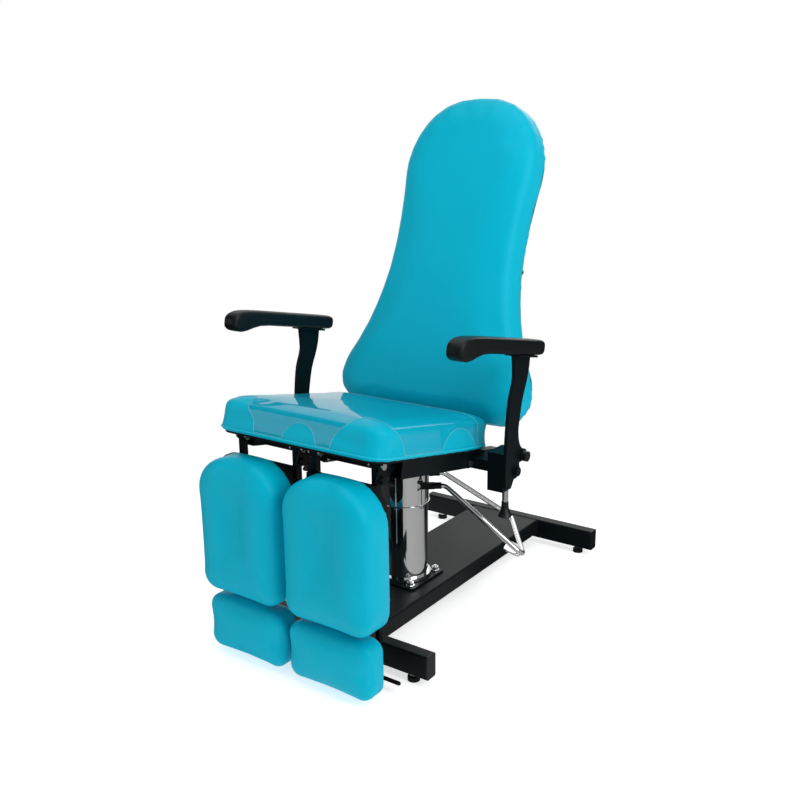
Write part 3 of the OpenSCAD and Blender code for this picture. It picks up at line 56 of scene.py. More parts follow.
# Sizes of the solids that the looks follow, in millimetres
SEAT_W, SEAT_DEPTH, SEAT_OVERHANG, SEAT_DROP = 500, 484, 58, 18.5
SEAT_REAR_R, SEAT_FRONT_R = 45, 55
BACK_T, BACK_AHEAD, BACK_RISE = 80, 43, 76
CALF_W, CALF_H, CALF_GAP, CALF_DROP, CALF_BACK = 258, 350, 4, 25, 39
HEEL_W, HEEL_H, HEEL_GAP, HEEL_BACK, CALF_HEEL_GAP = 247, 146, 6, 53, 10
RAIL_INSIDE, BOARD_H, FRONT_TUBE_H, RAIL_H = 209, 9.5, 30, 40
LEG_X, LEG_SPAN, LEG_TUBE_W, LEG_TUBE_D = 115.5, 173, 14, 16
SPACER_H, SPACER_MIDDLES = 30, (58, 313)

# Places in the chair, taken from its joints: each upholstered face has X across, Y along and Z out of it
SIDES = {"left": 1, "right": -1}
RAKE, LEAN = math.radians(10.7), math.radians(20.0)
SEAT_MIDDLE = SEAT_DEPTH / 2 - SEAT_OVERHANG
hinge = Vector(joints["leg_swing_left"]["pos_m"])
hinge.x = 0
pivot = Vector(joints["back_recline"]["pos_m"])
SEAT = Matrix.Translation(hinge) @ Matrix.Rotation(-RAKE, 4, "X")
BACK = Matrix.Translation(pivot) @ Matrix.Rotation(-LEAN, 4, "X")
UPRIGHT = Matrix.Rotation(math.pi / 2, 4, "X")


def shift(x, y, z):
    return Matrix.Translation(Vector((x, y, z)) * MM)


def leg_face(side, across, back, down):
    """Front of an upright board of one leg rest"""
    return Matrix.Translation(hinge) @ shift(SIDES[side] * across, -back, -down) @ UPRIGHT


seat_face = SEAT @ shift(0, SEAT_MIDDLE, SEAT_DROP)
back_face = BACK @ shift(0, BACK_T - BACK_AHEAD, BACK_RISE) @ UPRIGHT
calf_face = {side: leg_face(side, CALF_GAP + CALF_W / 2, CALF_BACK, CALF_DROP + CALF_H / 2) for side in SIDES}
heel_face = {side: leg_face(side, HEEL_GAP + HEEL_W / 2, HEEL_BACK,
                            CALF_DROP + CALF_H + CALF_HEEL_GAP + HEEL_H / 2) for side in SIDES}


# ---------------------------------------------------------------- shader groups
def shader_group(name, inputs, outputs):
    tree = bpy.data.node_groups.new(name, "ShaderNodeTree")
    for label, kind, value in inputs:
        socket = tree.interface.new_socket(label, in_out="INPUT", socket_type=kind)
        if value is not None:
            socket.default_value = value
    for label, kind in outputs:
        tree.interface.new_socket(label, in_out="OUTPUT", socket_type=kind)
    return tree, tree.nodes.new("NodeGroupInput"), tree.nodes.new("NodeGroupOutput")


def add(tree, kind, links=None, **values):
    """Node of a kind with its properties, socket values and links set"""
    node = tree.nodes.new(kind)
    for key, value in values.items():
        if hasattr(node, key):
            setattr(node, key, value)
        else:
            node.inputs[key.replace("_", " ")].default_value = value
    for socket, source in (links or {}).items():
        tree.links.new(source, node.inputs[socket])
    return node


def maths(tree, operation, a, b=0.5, c=0.5):
    node = tree.nodes.new("ShaderNodeMath")
    node.operation = operation
    for slot, value in zip(node.inputs, (a, b, c)):
        if isinstance(value, bpy.types.NodeSocket):
            tree.links.new(value, slot)
        else:
            slot.default_value = value
    return node.outputs[0]


def vinyl_grain_group():
    """Shallow irregular cells of embossed vinyl, and its slow drift of tone"""
    tree, start, end = shader_group(
        "Vinyl Grain",
        [("Vector", "NodeSocketVector", None), ("Cells", "NodeSocketFloat", 900.0),
         ("Drift", "NodeSocketFloat", 6.0)],
        [("Height", "NodeSocketFloat"), ("Tone", "NodeSocketFloat"), ("Roughness", "NodeSocketFloat")])
    cells = add(tree, "ShaderNodeTexVoronoi", {"Vector": start.outputs["Vector"], "Scale": start.outputs["Cells"]},
                feature="DISTANCE_TO_EDGE")
    soft = add(tree, "ShaderNodeTexNoise", {"Vector": start.outputs["Vector"], "Scale": start.outputs["Cells"]},
               Detail=3.0)
    drift = add(tree, "ShaderNodeTexNoise", {"Vector": start.outputs["Vector"], "Scale": start.outputs["Drift"]},
                Detail=4.0, Roughness=0.6)
    edge = maths(tree, "MINIMUM", maths(tree, "MULTIPLY", cells.outputs["Distance"], 4.0), 1.0)
    height = maths(tree, "MULTIPLY_ADD", edge, 0.6, maths(tree, "MULTIPLY", soft.outputs[0], 0.4))
    tree.links.new(height, end.inputs["Height"])
    tree.links.new(drift.outputs[0], end.inputs["Tone"])
    tree.links.new(maths(tree, "MULTIPLY_ADD", drift.outputs[0], 0.12, 0.3), end.inputs["Roughness"])
    return tree


def fine_coat_group():
    """Orange peel of sprayed and baked coats, with rubbed and dusty patches"""
    tree, start, end = shader_group(
        "Fine Coat",
        [("Vector", "NodeSocketVector", None), ("Peel", "NodeSocketFloat", 420.0),
         ("Base Roughness", "NodeSocketFloat", 0.35), ("Spread", "NodeSocketFloat", 0.15)],
        [("Height", "NodeSocketFloat"), ("Roughness", "NodeSocketFloat"), ("Dust", "NodeSocketFloat")])
    peel = add(tree, "ShaderNodeTexNoise", {"Vector": start.outputs["Vector"], "Scale": start.outputs["Peel"]},
               Detail=2.0)
    patch = add(tree, "ShaderNodeTexNoise", {"Vector": start.outputs["Vector"]}, Scale=9.0, Detail=6.0,
                Roughness=0.65)
    geometry = tree.nodes.new("ShaderNodeNewGeometry")
    facing = add(tree, "ShaderNodeSeparateXYZ", {"Vector": geometry.outputs["Normal"]})
    upward = maths(tree, "MAXIMUM", facing.outputs["Z"], 0.0)
    dust = maths(tree, "MULTIPLY", maths(tree, "POWER", upward, 3.0), patch.outputs[0])
    rough = maths(tree, "MULTIPLY_ADD", patch.outputs[0], start.outputs["Spread"], start.outputs["Base Roughness"])
    tree.links.new(peel.outputs[0], end.inputs["Height"])
    tree.links.new(rough, end.inputs["Roughness"])
    tree.links.new(dust, end.inputs["Dust"])
    return tree


def handling_group():
    """Faint finger marks and wiping streaks on polished metal"""
    tree, start, end = shader_group(
        "Handling Marks",
        [("Vector", "NodeSocketVector", None), ("Size", "NodeSocketFloat", 24.0),
         ("Base Roughness", "NodeSocketFloat", 0.05), ("Spread", "NodeSocketFloat", 0.1)],
        [("Roughness", "NodeSocketFloat"), ("Tone", "NodeSocketFloat")])
    marks = add(tree, "ShaderNodeTexNoise", {"Vector": start.outputs["Vector"], "Scale": start.outputs["Size"]},
                Detail=5.0, Roughness=0.6)
    spots = maths(tree, "POWER", marks.outputs[0], 3.0)
    tree.links.new(maths(tree, "MULTIPLY_ADD", spots, start.outputs["Spread"], start.outputs["Base Roughness"]),
                   end.inputs["Roughness"])
    tree.links.new(marks.outputs[0], end.inputs["Tone"])
    return tree


VINYL_GRAIN = vinyl_grain_group()
FINE_COAT = fine_coat_group()
HANDLING = handling_group()


# ---------------------------------------------------------------- materials
def finish_of(name, colour, **values):
    """Material with a Principled shader, and that shader"""
    material = bpy.data.materials.new(name)
    material.use_nodes = True
    shader = material.node_tree.nodes["Principled BSDF"]
    shader.inputs["Base Color"].default_value = (*colour, 1)
    for key, value in values.items():
        shader.inputs[key.replace("_", " ")].default_value = value
    return material, shader


def use(material, group, **values):
    """Shared effect placed in a material on the piece's own coordinates"""
    tree = material.node_tree
    place = tree.nodes.new("ShaderNodeTexCoord")
    node = tree.nodes.new("ShaderNodeGroup")
    node.node_tree = group
    tree.links.new(place.outputs["Object"], node.inputs["Vector"])
    for key, value in values.items():
        node.inputs[key.replace("_", " ")].default_value = value
    return node


def between(material, shader, fac, low, high, socket="Base Color"):
    """Two colours mixed by a mask that changes over the surface"""
    tree = material.node_tree
    mix = tree.nodes.new("ShaderNodeMix")
    mix.data_type = "RGBA"
    mix.inputs["A"].default_value = (*low, 1)
    mix.inputs["B"].default_value = (*high, 1)
    tree.links.new(fac, mix.inputs["Factor"])
    tree.links.new(mix.outputs["Result"], shader.inputs[socket])


def bumped(material, shader, height, depth, strength=1.0):
    tree = material.node_tree
    bump = tree.nodes.new("ShaderNodeBump")
    bump.inputs["Distance"].default_value = depth
    bump.inputs["Strength"].default_value = strength
    tree.links.new(height, bump.inputs["Height"])
    tree.links.new(bump.outputs["Normal"], shader.inputs["Normal"])


def vinyl(name, low, high, cells=900.0, depth=0.00012):
    material, shader = finish_of(name, high, Specular_IOR_Level=0.22, Specular_Tint=(0.35, 0.95, 1.0, 1))
    grain = use(material, VINYL_GRAIN, Cells=cells)
    between(material, shader, grain.outputs["Tone"], low, high)
    material.node_tree.links.new(grain.outputs["Roughness"], shader.inputs["Roughness"])
    bumped(material, shader, grain.outputs["Height"], depth)
    return material


def coated(name, colour, dusty, peel=420.0, rough=0.32, spread=0.16, depth=0.00006, level=0.45):
    material, shader = finish_of(name, colour, Specular_IOR_Level=level)
    coat = use(material, FINE_COAT, Peel=peel, Base_Roughness=rough, Spread=spread)
    between(material, shader, coat.outputs["Dust"], colour, dusty)
    material.node_tree.links.new(coat.outputs["Roughness"], shader.inputs["Roughness"])
    bumped(material, shader, coat.outputs["Height"], depth)
    return material


def plated(name, low, high, rough, spread, size=24.0):
    material, shader = finish_of(name, high, Metallic=1.0)
    marks = use(material, HANDLING, Size=size, Base_Roughness=rough, Spread=spread)
    between(material, shader, marks.outputs["Tone"], low, high)
    material.node_tree.links.new(marks.outputs["Roughness"], shader.inputs["Roughness"])
    return material


def clear_film():
    """Clear sheet: it mirrors more the flatter it is seen, and lets the rest through"""
    material, shader = finish_of("clear_film", (0.93, 0.97, 0.98), Metallic=1.0)
    tree = material.node_tree
    marks = use(material, HANDLING, Size=14.0, Base_Roughness=0.03, Spread=0.05)
    tree.links.new(marks.outputs["Roughness"], shader.inputs["Roughness"])
    gloss = tree.nodes.new("ShaderNodeFresnel")
    gloss.inputs["IOR"].default_value = 1.5
    path = tree.nodes.new("ShaderNodeLightPath")
    unlit = maths(tree, "MAXIMUM", path.outputs["Is Shadow Ray"], path.outputs["Is Diffuse Ray"])
    mirrored = maths(tree, "MULTIPLY_ADD", gloss.outputs["Fac"], 0.85, 0.01)
    shading = maths(tree, "MULTIPLY_ADD", unlit, -0.55, 1.0)
    tree.links.new(maths(tree, "MULTIPLY", mirrored, shading), shader.inputs["Alpha"])
    return material


TURQUOISE = vinyl("turquoise_vinyl", (0.0, 0.40, 0.555), (0.0, 0.45, 0.62))
# Lighter copy of the turquoise vinyl for the seat's welt: a painted highlight along the seat's lower edge
WELT_VINYL_PAINTED_HIGHLIGHT = vinyl("turquoise_welt_painted_highlight", (0.01, 0.50, 0.66), (0.01, 0.54, 0.71), cells=1400.0)
FILM = clear_film()
# Light, half-clear teal for thin tubes along the clear cover's cut edges: a painted highlight where the edge catches
# the light
FILM_EDGE_PAINTED_HIGHLIGHT, _ = finish_of("cut_film_edge_painted_highlight", (0.25, 0.72, 0.82), Roughness=0.3, Alpha=0.55)
POWDER = coated("black_powder_coat", (0.0012, 0.0042, 0.006), (0.007, 0.012, 0.014), level=0.16)
CHANNEL = coated("channel_powder_coat", (0.005, 0.007, 0.008), (0.014, 0.018, 0.02), peel=700.0, rough=0.36,
                 level=0.14)
BOARD = coated("black_board_face", (0.004, 0.0045, 0.005), (0.012, 0.012, 0.013), peel=1500.0, rough=0.6,
               depth=0.0001, level=0.2)
PLASTIC = coated("black_moulding", (0.004, 0.006, 0.007), (0.012, 0.015, 0.016), peel=900.0, rough=0.3,
                 level=0.35)
PU_SKIN = coated("polyurethane_skin", (0.002, 0.0045, 0.0055), (0.008, 0.011, 0.012), peel=1300.0, rough=0.32,
                 depth=0.00012, level=0.25)
RUBBER = coated("black_rubber", (0.006, 0.007, 0.0075), (0.02, 0.02, 0.021), peel=1000.0, rough=0.62, level=0.2)
CHROME = plated("mirror_chrome", (0.80, 0.81, 0.82), (0.90, 0.905, 0.91), 0.035, 0.10)
ZINC = plated("bright_zinc", (0.55, 0.56, 0.57), (0.72, 0.73, 0.74), 0.22, 0.25, size=120.0)

CAD_FINISH = {
    "base_channel": CHANNEL,
    **dict.fromkeys(["pump_body", "pump_ram", "pump_shroud"], CHROME),
    **dict.fromkeys(["base_fasteners", "frame_bolts", "back_screws", "pedal_shaft", "gas_spring_rod"], ZINC),
    **dict.fromkeys(["seat_board", "back_board"], BOARD),
    **dict.fromkeys(["crossbar_caps", "back_rail_caps", "pump_bush"], PLASTIC),
}
PREFIX_FINISH = {
    "foot_": RUBBER, "calf_board": BOARD, "heel_board": BOARD, "heel_knob": PLASTIC, "arm_knob": PLASTIC,
    "arm_plunger": PLASTIC,
}


def dress_frame():
    """Every solid that stays gets its own finish"""
    for name, node in nodes.items():
        found = [m for prefix, m in PREFIX_FINISH.items() if name.startswith(prefix)]
        material = CAD_FINISH.get(name) or (found[0] if found else POWDER)
        if not node.material_slots:
            node.data.materials.append(material)
        for place in node.material_slots:
            place.material = material


# ---------------------------------------------------------------- mesh helpers
def new_object(name, mesh, material=None):
    piece = bpy.data.objects.new(name, mesh)
    scene.collection.objects.link(piece)
    if material is not None:
        mesh.materials.clear()
        mesh.materials.append(material)
    return piece


def from_points(name, points, faces, material, edges=()):
    mesh = bpy.data.meshes.new(name)
    mesh.from_pydata([tuple(p) for p in points], list(edges), [tuple(f) for f in faces])
    mesh.validate()
    return new_object(name, mesh, material)


def baked(piece):
    """The piece's modifiers made into its own plain mesh"""
    graph = bpy.context.evaluated_depsgraph_get()
    mesh = bpy.data.meshes.new_from_object(piece.evaluated_get(graph))
    piece.modifiers.clear()
    piece.data = mesh
    mesh.name = piece.name
    return piece


def copied(node, name):
    """Own copy of a solid's mesh, its loose corners joined"""
    mesh = nodes[node].data.copy()
    shape = bmesh.new()
    shape.from_mesh(mesh)
    bmesh.ops.remove_doubles(shape, verts=shape.verts, dist=1e-5)
    shape.to_mesh(mesh)
    shape.free()
    return new_object(name, mesh)


def points_of(piece):
    co = np.empty(len(piece.data.vertices) * 3)
    piece.data.vertices.foreach_get("co", co)
    return co.reshape(-1, 3)


def normals_of(piece):
    normal = np.empty(len(piece.data.vertices) * 3)
    piece.data.vertices.foreach_get("normal", normal)
    return normal.reshape(-1, 3)


def set_points(piece, co):
    piece.data.vertices.foreach_set("co", np.asarray(co, np.float32).ravel())
    piece.data.update()


def inside(matrix, co):
    """Points in a face's own X, Y, Z, in millimetres"""
    back = np.array(matrix.inverted())
    return (co @ back[:3, :3].T + back[:3, 3]) / MM


def outside(matrix, local):
    m = np.array(matrix)
    return local * MM @ m[:3, :3].T + m[:3, 3]


def smoothed(piece, field, rounds):
    """A value of each point evened out along the mesh's edges"""
    edge = np.empty(len(piece.data.edges) * 2, np.int64)
    piece.data.edges.foreach_get("vertices", edge)
    a, b = edge.reshape(-1, 2).T
    count = np.bincount(a, minlength=len(field)) + np.bincount(b, minlength=len(field))
    for _ in range(rounds):
        total = np.zeros_like(field)
        np.add.at(total, a, field[b])
        np.add.at(total, b, field[a])
        field = 0.5 * field + 0.5 * total / count[:, None]
    return field


def shade_smooth(piece):
    piece.data.polygons.foreach_set("use_smooth", np.ones(len(piece.data.polygons), bool))
    piece.data.update()
    return piece


def tube(name, path, radius, material, sides=16, closed=False):
    """Round bar swept along a path without twisting"""
    path = [Vector(p) for p in path]
    count = len(path)
    points, faces = [], []
    side = None
    for i, point in enumerate(path):
        ahead = path[(i + 1) % count] if closed or i + 1 < count else point
        behind = path[i - 1] if closed or i else point
        along = (ahead - behind).normalized()
        side = (along.orthogonal() if side is None else side - along * side.dot(along)).normalized()
        up = along.cross(side)
        points += [point + radius * (side * math.cos(t) + up * math.sin(t))
                   for t in (2 * math.pi * k / sides for k in range(sides))]
    for i in range(count if closed else count - 1):
        j = (i + 1) % count
        faces += [(i * sides + k, i * sides + (k + 1) % sides, j * sides + (k + 1) % sides, j * sides + k)
                  for k in range(sides)]
    if not closed:
        faces += [tuple(reversed(range(sides))), tuple((count - 1) * sides + k for k in range(sides))]
    return shade_smooth(from_points(name, points, faces, material))


# ---------------------------------------------------------------- upholstery
FRAMES_OF_FILLING = 20
# Heights over the board, in millimetres: where the sides begin to be drawn in, over how much they reach their full
# depth, how far up the cover is held while it is filled, and how far up the wrap round the board's edge begins
DRAWN_FROM, DRAWN_OVER, HELD_BELOW, WRAP_REACH = 2, 16, 5.0, 8.0


def filled(piece, face, cap):
    """Cover blown up like a filled cushion, held along the board, its swelling capped"""
    start = points_of(piece)
    heights = inside(face, start)[:, 2]
    held = piece.vertex_groups.new(name="held")
    held.add([int(i) for i in np.flatnonzero(heights < HELD_BELOW)], 1.0, "REPLACE")
    cloth = piece.modifiers.new("Filling", "CLOTH")
    stuff = cloth.settings
    stuff.quality = 6
    stuff.mass = 0.3
    stuff.tension_stiffness = stuff.compression_stiffness = 15
    stuff.shear_stiffness = 5
    stuff.bending_stiffness = 0.5
    stuff.use_pressure = True
    stuff.uniform_pressure_force = 4
    stuff.effector_weights.gravity = 0
    stuff.vertex_group_mass = "held"
    cloth.point_cache.frame_start = 1
    cloth.point_cache.frame_end = FRAMES_OF_FILLING
    for step in range(1, FRAMES_OF_FILLING + 1):
        scene.frame_set(step)
    graph = bpy.context.evaluated_depsgraph_get()
    blown = points_of(piece.evaluated_get(graph))
    piece.modifiers.clear()
    piece.vertex_groups.clear()
    scene.frame_set(1)
    move = blown - start
    length = np.linalg.norm(move, axis=1, keepdims=True)
    move *= cap * MM * np.tanh(length / (cap * MM)) / np.maximum(length, 1e-9)
    return start + smoothed(piece, move, 6)


def cushion(name, node, face, body, voxel, inset, cap, wrap):
    """Upholstered piece where its solid is: drawn in, filled, flat behind and pulled round its board's edge"""
    piece = copied(node, name)
    solid = inside(face, points_of(piece))
    remesh = piece.modifiers.new("Even", "REMESH")
    remesh.mode = "VOXEL"
    remesh.voxel_size = voxel * MM
    baked(piece)
    co = points_of(piece)
    height = inside(face, co)[:, 2]
    rise = np.clip((height - DRAWN_FROM) / DRAWN_OVER, 0, 1)[:, None]
    set_points(piece, co - normals_of(piece) * rise * inset * MM)
    set_points(piece, np.where(rise > 0.01, smoothed(piece, points_of(piece), 4), points_of(piece)))
    set_points(piece, filled(piece, face, cap))
    local = inside(face, points_of(piece))
    for axis in range(3):
        local[:, axis] = np.interp(local[:, axis], (local[:, axis].min(), local[:, axis].max()),
                                   (solid[:, axis].min(), solid[:, axis].max()))
    height = np.maximum(local[:, 2], 0.0)
    local[:, 2] = height - wrap * np.clip(1 - height / WRAP_REACH, 0, 1)
    local = np.where(height[:, None] < 2 * WRAP_REACH, smoothed(piece, local, 5), local)
    set_points(piece, outside(face, local))
    finer = piece.modifiers.new("Finer", "SUBSURF")
    finer.levels = finer.render_levels = 1
    baked(piece)
    piece.data.materials.clear()
    piece.data.materials.append(TURQUOISE)
    shade_smooth(piece)
    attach(piece, body)
    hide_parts(node)
    return piece


def corner_arc(x, y, r, start, steps=10):
    return [(x + r * math.cos(math.radians(start + 90 * k / steps)),
             y + r * math.sin(math.radians(start + 90 * k / steps))) for k in range(steps + 1)]


def pad_line(w, d, far, near):
    """Outline of a cushion with four round corners, in millimetres"""
    return (corner_arc(w / 2 - far, d / 2 - far, far, 0) + corner_arc(far - w / 2, d / 2 - far, far, 90)
            + corner_arc(near - w / 2, near - d / 2, near, 180) + corner_arc(w / 2 - near, near - d / 2, near, 270))


def along_line(line, spacing):
    """Closed line walked in even steps"""
    p = np.array(line + [line[0]], float)
    run = np.r_[0, np.cumsum(np.linalg.norm(np.diff(p, axis=0), axis=1))]
    at = np.linspace(0, run[-1], max(8, int(run[-1] / spacing)), endpoint=False)
    return np.c_[np.interp(at, run, p[:, 0]), np.interp(at, run, p[:, 1])]


def ring_on(piece, face, line, height, out, spacing=5.0, reach=40.0):
    """Points where a cushion's side stands at one height over its board"""
    mesh = piece.data
    tree = BVHTree.FromPolygons([v.co for v in mesh.vertices], [p.vertices[:] for p in mesh.polygons])
    walk = along_line(line, spacing)
    found = []
    for i, (x, y) in enumerate(walk):
        tangent = walk[(i + 1) % len(walk)] - walk[i - 1]
        normal = np.array([tangent[1], -tangent[0]]) / np.linalg.norm(tangent)
        start = face @ (Vector((x + normal[0] * reach, y + normal[1] * reach, height)) * MM)
        toward = (face.to_3x3() @ Vector((-normal[0], -normal[1], 0))).normalized()
        hit = tree.ray_cast(start, toward)[0]
        if hit is not None:
            found.append(hit - toward * out * MM)
    return found


def welt(name, piece, face, line, body, height, radius):
    """Sewn roll of vinyl where a cushion meets its board, in a lighter copy of the cushion vinyl that paints a
    highlight along it
    """
    path = ring_on(piece, face, line, height, out=radius * 0.25)
    roll = tube(name, path, radius * MM, WELT_VINYL_PAINTED_HIGHLIGHT, sides=10, closed=True)
    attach(roll, body)
    return roll


# ---------------------------------------------------------------- clear cover
def clipped(points, faces, value):
    """Triangles cut along the line where a value given for each point crosses zero"""
    kept, extra, made = [], [], {}
    count = len(points)

    def crossing(i, j):
        key = (min(i, j), max(i, j))
        if key not in made:
            t = value[i] / (value[i] - value[j])
            extra.append(points[i] + t * (points[j] - points[i]))
            made[key] = count + len(extra) - 1
        return made[key]

    for face in faces:
        signs = [value[i] > 0 for i in face]
        if all(signs):
            kept.append(tuple(face))
        elif any(signs):
            corner = []
            for k, i in enumerate(face):
                j = face[(k + 1) % len(face)]
                if value[i] > 0:
                    corner.append(i)
                if (value[i] > 0) != (value[j] > 0):
                    corner.append(crossing(i, j))
            if len(corner) > 2:
                kept.append(tuple(corner))
    return np.vstack([points] + ([np.array(extra)] if extra else [])), kept


# Cut of the clear cover, in millimetres, in the seat's own depth and height: how near it comes to the board, and its
# round cut-outs at the front, at each side and across each front corner
COVER_LOW, COVER_LIFT, COVER_EDGE_R = 7, 0.9, 0.55
FRONT_ARCH_X, FRONT_ARCH_R, FRONT_ARCH_REACH = 24, 50, 60
SIDE_ARCH_BACK, SIDE_ARCH_DROP, SIDE_ARCH_R, SIDE_ARCH_FROM = 270, 29.4, 84, 180
CORNER_ARCH_IN, CORNER_ARCH_R, CORNER_ARCH_FROM = 14.5, 82, 20
OUT_OF_REACH = 1e3


def cover_room(local):
    """How far inside the cut of the clear cover each point lies, in millimetres"""
    x, d, h = local[:, 0], local[:, 1] + SEAT_MIDDLE, local[:, 2]
    room = np.minimum(SIDE_ARCH_BACK + SIDE_ARCH_R - d, h - COVER_LOW)
    front = np.hypot(x - FRONT_ARCH_X, h) - FRONT_ARCH_R
    room = np.minimum(room, front + OUT_OF_REACH * (d > FRONT_ARCH_REACH))
    flank = np.hypot(d - SIDE_ARCH_BACK, h + SIDE_ARCH_DROP) - SIDE_ARCH_R
    room = np.minimum(room, flank + OUT_OF_REACH * (abs(x) < SIDE_ARCH_FROM))
    for side in (-1, 1):
        across = ((side * x - SEAT_W / 2) + (d + SEAT_OVERHANG)) * math.sqrt(0.5) + CORNER_ARCH_IN
        corner = np.hypot(across, h) - CORNER_ARCH_R
        room = np.minimum(room, corner + OUT_OF_REACH * (side * x < CORNER_ARCH_FROM))
    return room


def seat_cover(seat):
    """Clear sheet over the front of the seat, cut in arches at the front, the corners and the sides"""
    lifted = points_of(seat) + normals_of(seat) * COVER_LIFT * MM
    faces = [tuple(p.vertices) for p in seat.data.polygons]
    points, kept = clipped(lifted, faces, cover_room(inside(seat_face, lifted)))
    cover = from_points("clear_seat_cover", points, kept, FILM)
    shape = bmesh.new()
    shape.from_mesh(cover.data)
    bmesh.ops.delete(shape, geom=[v for v in shape.verts if not v.link_faces], context="VERTS")
    bmesh.ops.remove_doubles(shape, verts=shape.verts, dist=2e-5)
    shape.to_mesh(cover.data)
    rims = chains([e for e in shape.edges if e.is_boundary])
    area = sum(f.calc_area() for f in shape.faces)
    shape.free()
    shade_smooth(cover)
    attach(cover, "lift")
    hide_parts("seat_cover")
    rims = [r for r in rims if len(r) > 30]
    # Each long cut edge gets a thin tube in the light edge colour, a painted highlight of the film's edge
    for k, rim in enumerate(rims):
        edge = tube(f"clear_cover_edge_{k + 1}", rim, COVER_EDGE_R * MM, FILM_EDGE_PAINTED_HIGHLIGHT, sides=6, closed=True)
        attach(edge, "lift")
    return cover


def chains(edges):
    """Boundary edges joined up into closed runs of points"""
    nearby = {}
    for e in edges:
        a, b = e.verts
        nearby.setdefault(a, []).append(b)
        nearby.setdefault(b, []).append(a)
    runs, seen = [], set()
    for start in nearby:
        if start in seen:
            continue
        run, here = [], start
        while here is not None:
            seen.add(here)
            run.append(here.co.copy())
            here = next((v for v in nearby[here] if v not in seen), None)
        runs.append(run)
    return runs


# ---------------------------------------------------------------- armrest pads and pedal
def arm_pad(side):
    """Moulded armrest pad with its soft edges"""
    piece = copied(f"arm_pad_{side}", f"arm_pad_skin_{side}")
    remesh = piece.modifiers.new("Even", "REMESH")
    remesh.mode = "VOXEL"
    remesh.voxel_size = 2.2 * MM
    baked(piece)
    set_points(piece, smoothed(piece, points_of(piece), 8))
    piece.data.materials.clear()
    piece.data.materials.append(PU_SKIN)
    shade_smooth(piece)
    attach(piece, f"arm_{side}")
    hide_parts(f"arm_pad_{side}")
    return piece


def rounded_route(route, radii, steps=10):
    """Corners of a bent tube turned into arcs"""
    path = [route[0]]
    for i in range(1, len(route) - 1):
        a, b, c, r = route[i - 1], route[i], route[i + 1], radii[i - 1]
        p, q = b + (a - b).normalized() * r, b + (c - b).normalized() * r
        path += [(1 - t) ** 2 * p + 2 * t * (1 - t) * b + t * t * q for t in (k / steps for k in range(steps + 1))]
    return path + [route[-1]]


# The pedal's loop, in millimetres and degrees: how far out of its shaft the column stands, half its width at the
# column and at the outer end, its sloping part, where its level tube begins and where it bends down
PEDAL_TURN, PEDAL_SLOPE, PEDAL_SHAFT = 35.7, 37.1, 36
PEDAL_ROOT, PEDAL_WIDE, PEDAL_REACH, PEDAL_START, PEDAL_KNEE = 52, 140, 272, 80, 108
PEDAL_TUBE_R, PEDAL_KNEE_R, PEDAL_CORNER_R = 7, 10, 34
PLATE_W, PLATE_L, PLATE_T, PLATE_CORNER_R, PLATE_EDGE_R, PLATE_TILT = 46, 60, 5, 11.5, 1.2, 20
PLATE_AT = (-23, 34.5, 4.2)


def pedal_loop():
    """Chromed tube of the pump's pedal and the plate welded to its outer corner"""
    slope = math.radians(PEDAL_SLOPE)
    origin = Vector(joints["pedal_press"]["pos_m"])
    place = (Matrix.Translation(origin) @ Matrix.Rotation(math.radians(PEDAL_TURN), 4, "Z")
             @ shift(-PEDAL_SHAFT, 0, 0))
    run = math.sqrt((PEDAL_REACH * math.cos(slope)) ** 2 - (PEDAL_WIDE - PEDAL_ROOT) ** 2)
    far = Vector((PEDAL_KNEE + run, PEDAL_WIDE, -PEDAL_REACH * math.sin(slope)))
    route = [Vector((PEDAL_START, PEDAL_ROOT, 0)), Vector((PEDAL_KNEE, PEDAL_ROOT, 0)), far,
             Vector((far.x, -PEDAL_WIDE, far.z)), Vector((PEDAL_KNEE, -PEDAL_ROOT, 0)),
             Vector((PEDAL_START, -PEDAL_ROOT, 0))]
    path = [place @ (p * MM) for p in rounded_route(
        route, [PEDAL_KNEE_R, PEDAL_CORNER_R, PEDAL_CORNER_R, PEDAL_KNEE_R])]
    loop = tube("pedal_tube", path, PEDAL_TUBE_R * MM, CHROME, sides=28)
    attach(loop, "pedal")
    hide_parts("pedal_loop")
    plate_place = (place @ shift(route[3].x + PLATE_AT[0], route[3].y + PLATE_AT[1], route[3].z + PLATE_AT[2])
                   @ Matrix.Rotation(math.radians(-PLATE_TILT), 4, "Z")
                   @ Matrix.Rotation(math.radians(PLATE_TILT), 4, "Y"))
    outline = pad_line(PLATE_W, PLATE_L, PLATE_CORNER_R, PLATE_CORNER_R)
    points = [plate_place @ (Vector((x, y, z)) * MM) for z in (0, PLATE_T) for x, y in outline]
    n = len(outline)
    faces = [tuple(range(n, 2 * n)), tuple(reversed(range(n)))]
    faces += [(k, (k + 1) % n, n + (k + 1) % n, n + k) for k in range(n)]
    plate = from_points("pedal_foot_plate", points, faces, CHROME)
    softened(plate, PLATE_EDGE_R)
    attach(plate, "pedal")


def softened(piece, width, segments=3):
    bevel = piece.modifiers.new("Edges", "BEVEL")
    bevel.width = width * MM
    bevel.segments = segments
    bevel.limit_method = "ANGLE"
    baked(piece)
    shade_smooth(piece)
    return piece


# ---------------------------------------------------------------- repeated small work, by Geometry Nodes
def nodes_tree(name, inputs):
    """Geometry tree with its named inputs"""
    tree = bpy.data.node_groups.new(name, "GeometryNodeTree")
    tree.interface.new_socket("Geometry", in_out="INPUT", socket_type="NodeSocketGeometry")
    for label, kind, value in inputs:
        socket = tree.interface.new_socket(label, in_out="INPUT", socket_type=kind)
        if value is not None:
            socket.default_value = value
    tree.interface.new_socket("Geometry", in_out="OUTPUT", socket_type="NodeSocketGeometry")
    return tree, tree.nodes.new("NodeGroupInput"), tree.nodes.new("NodeGroupOutput")


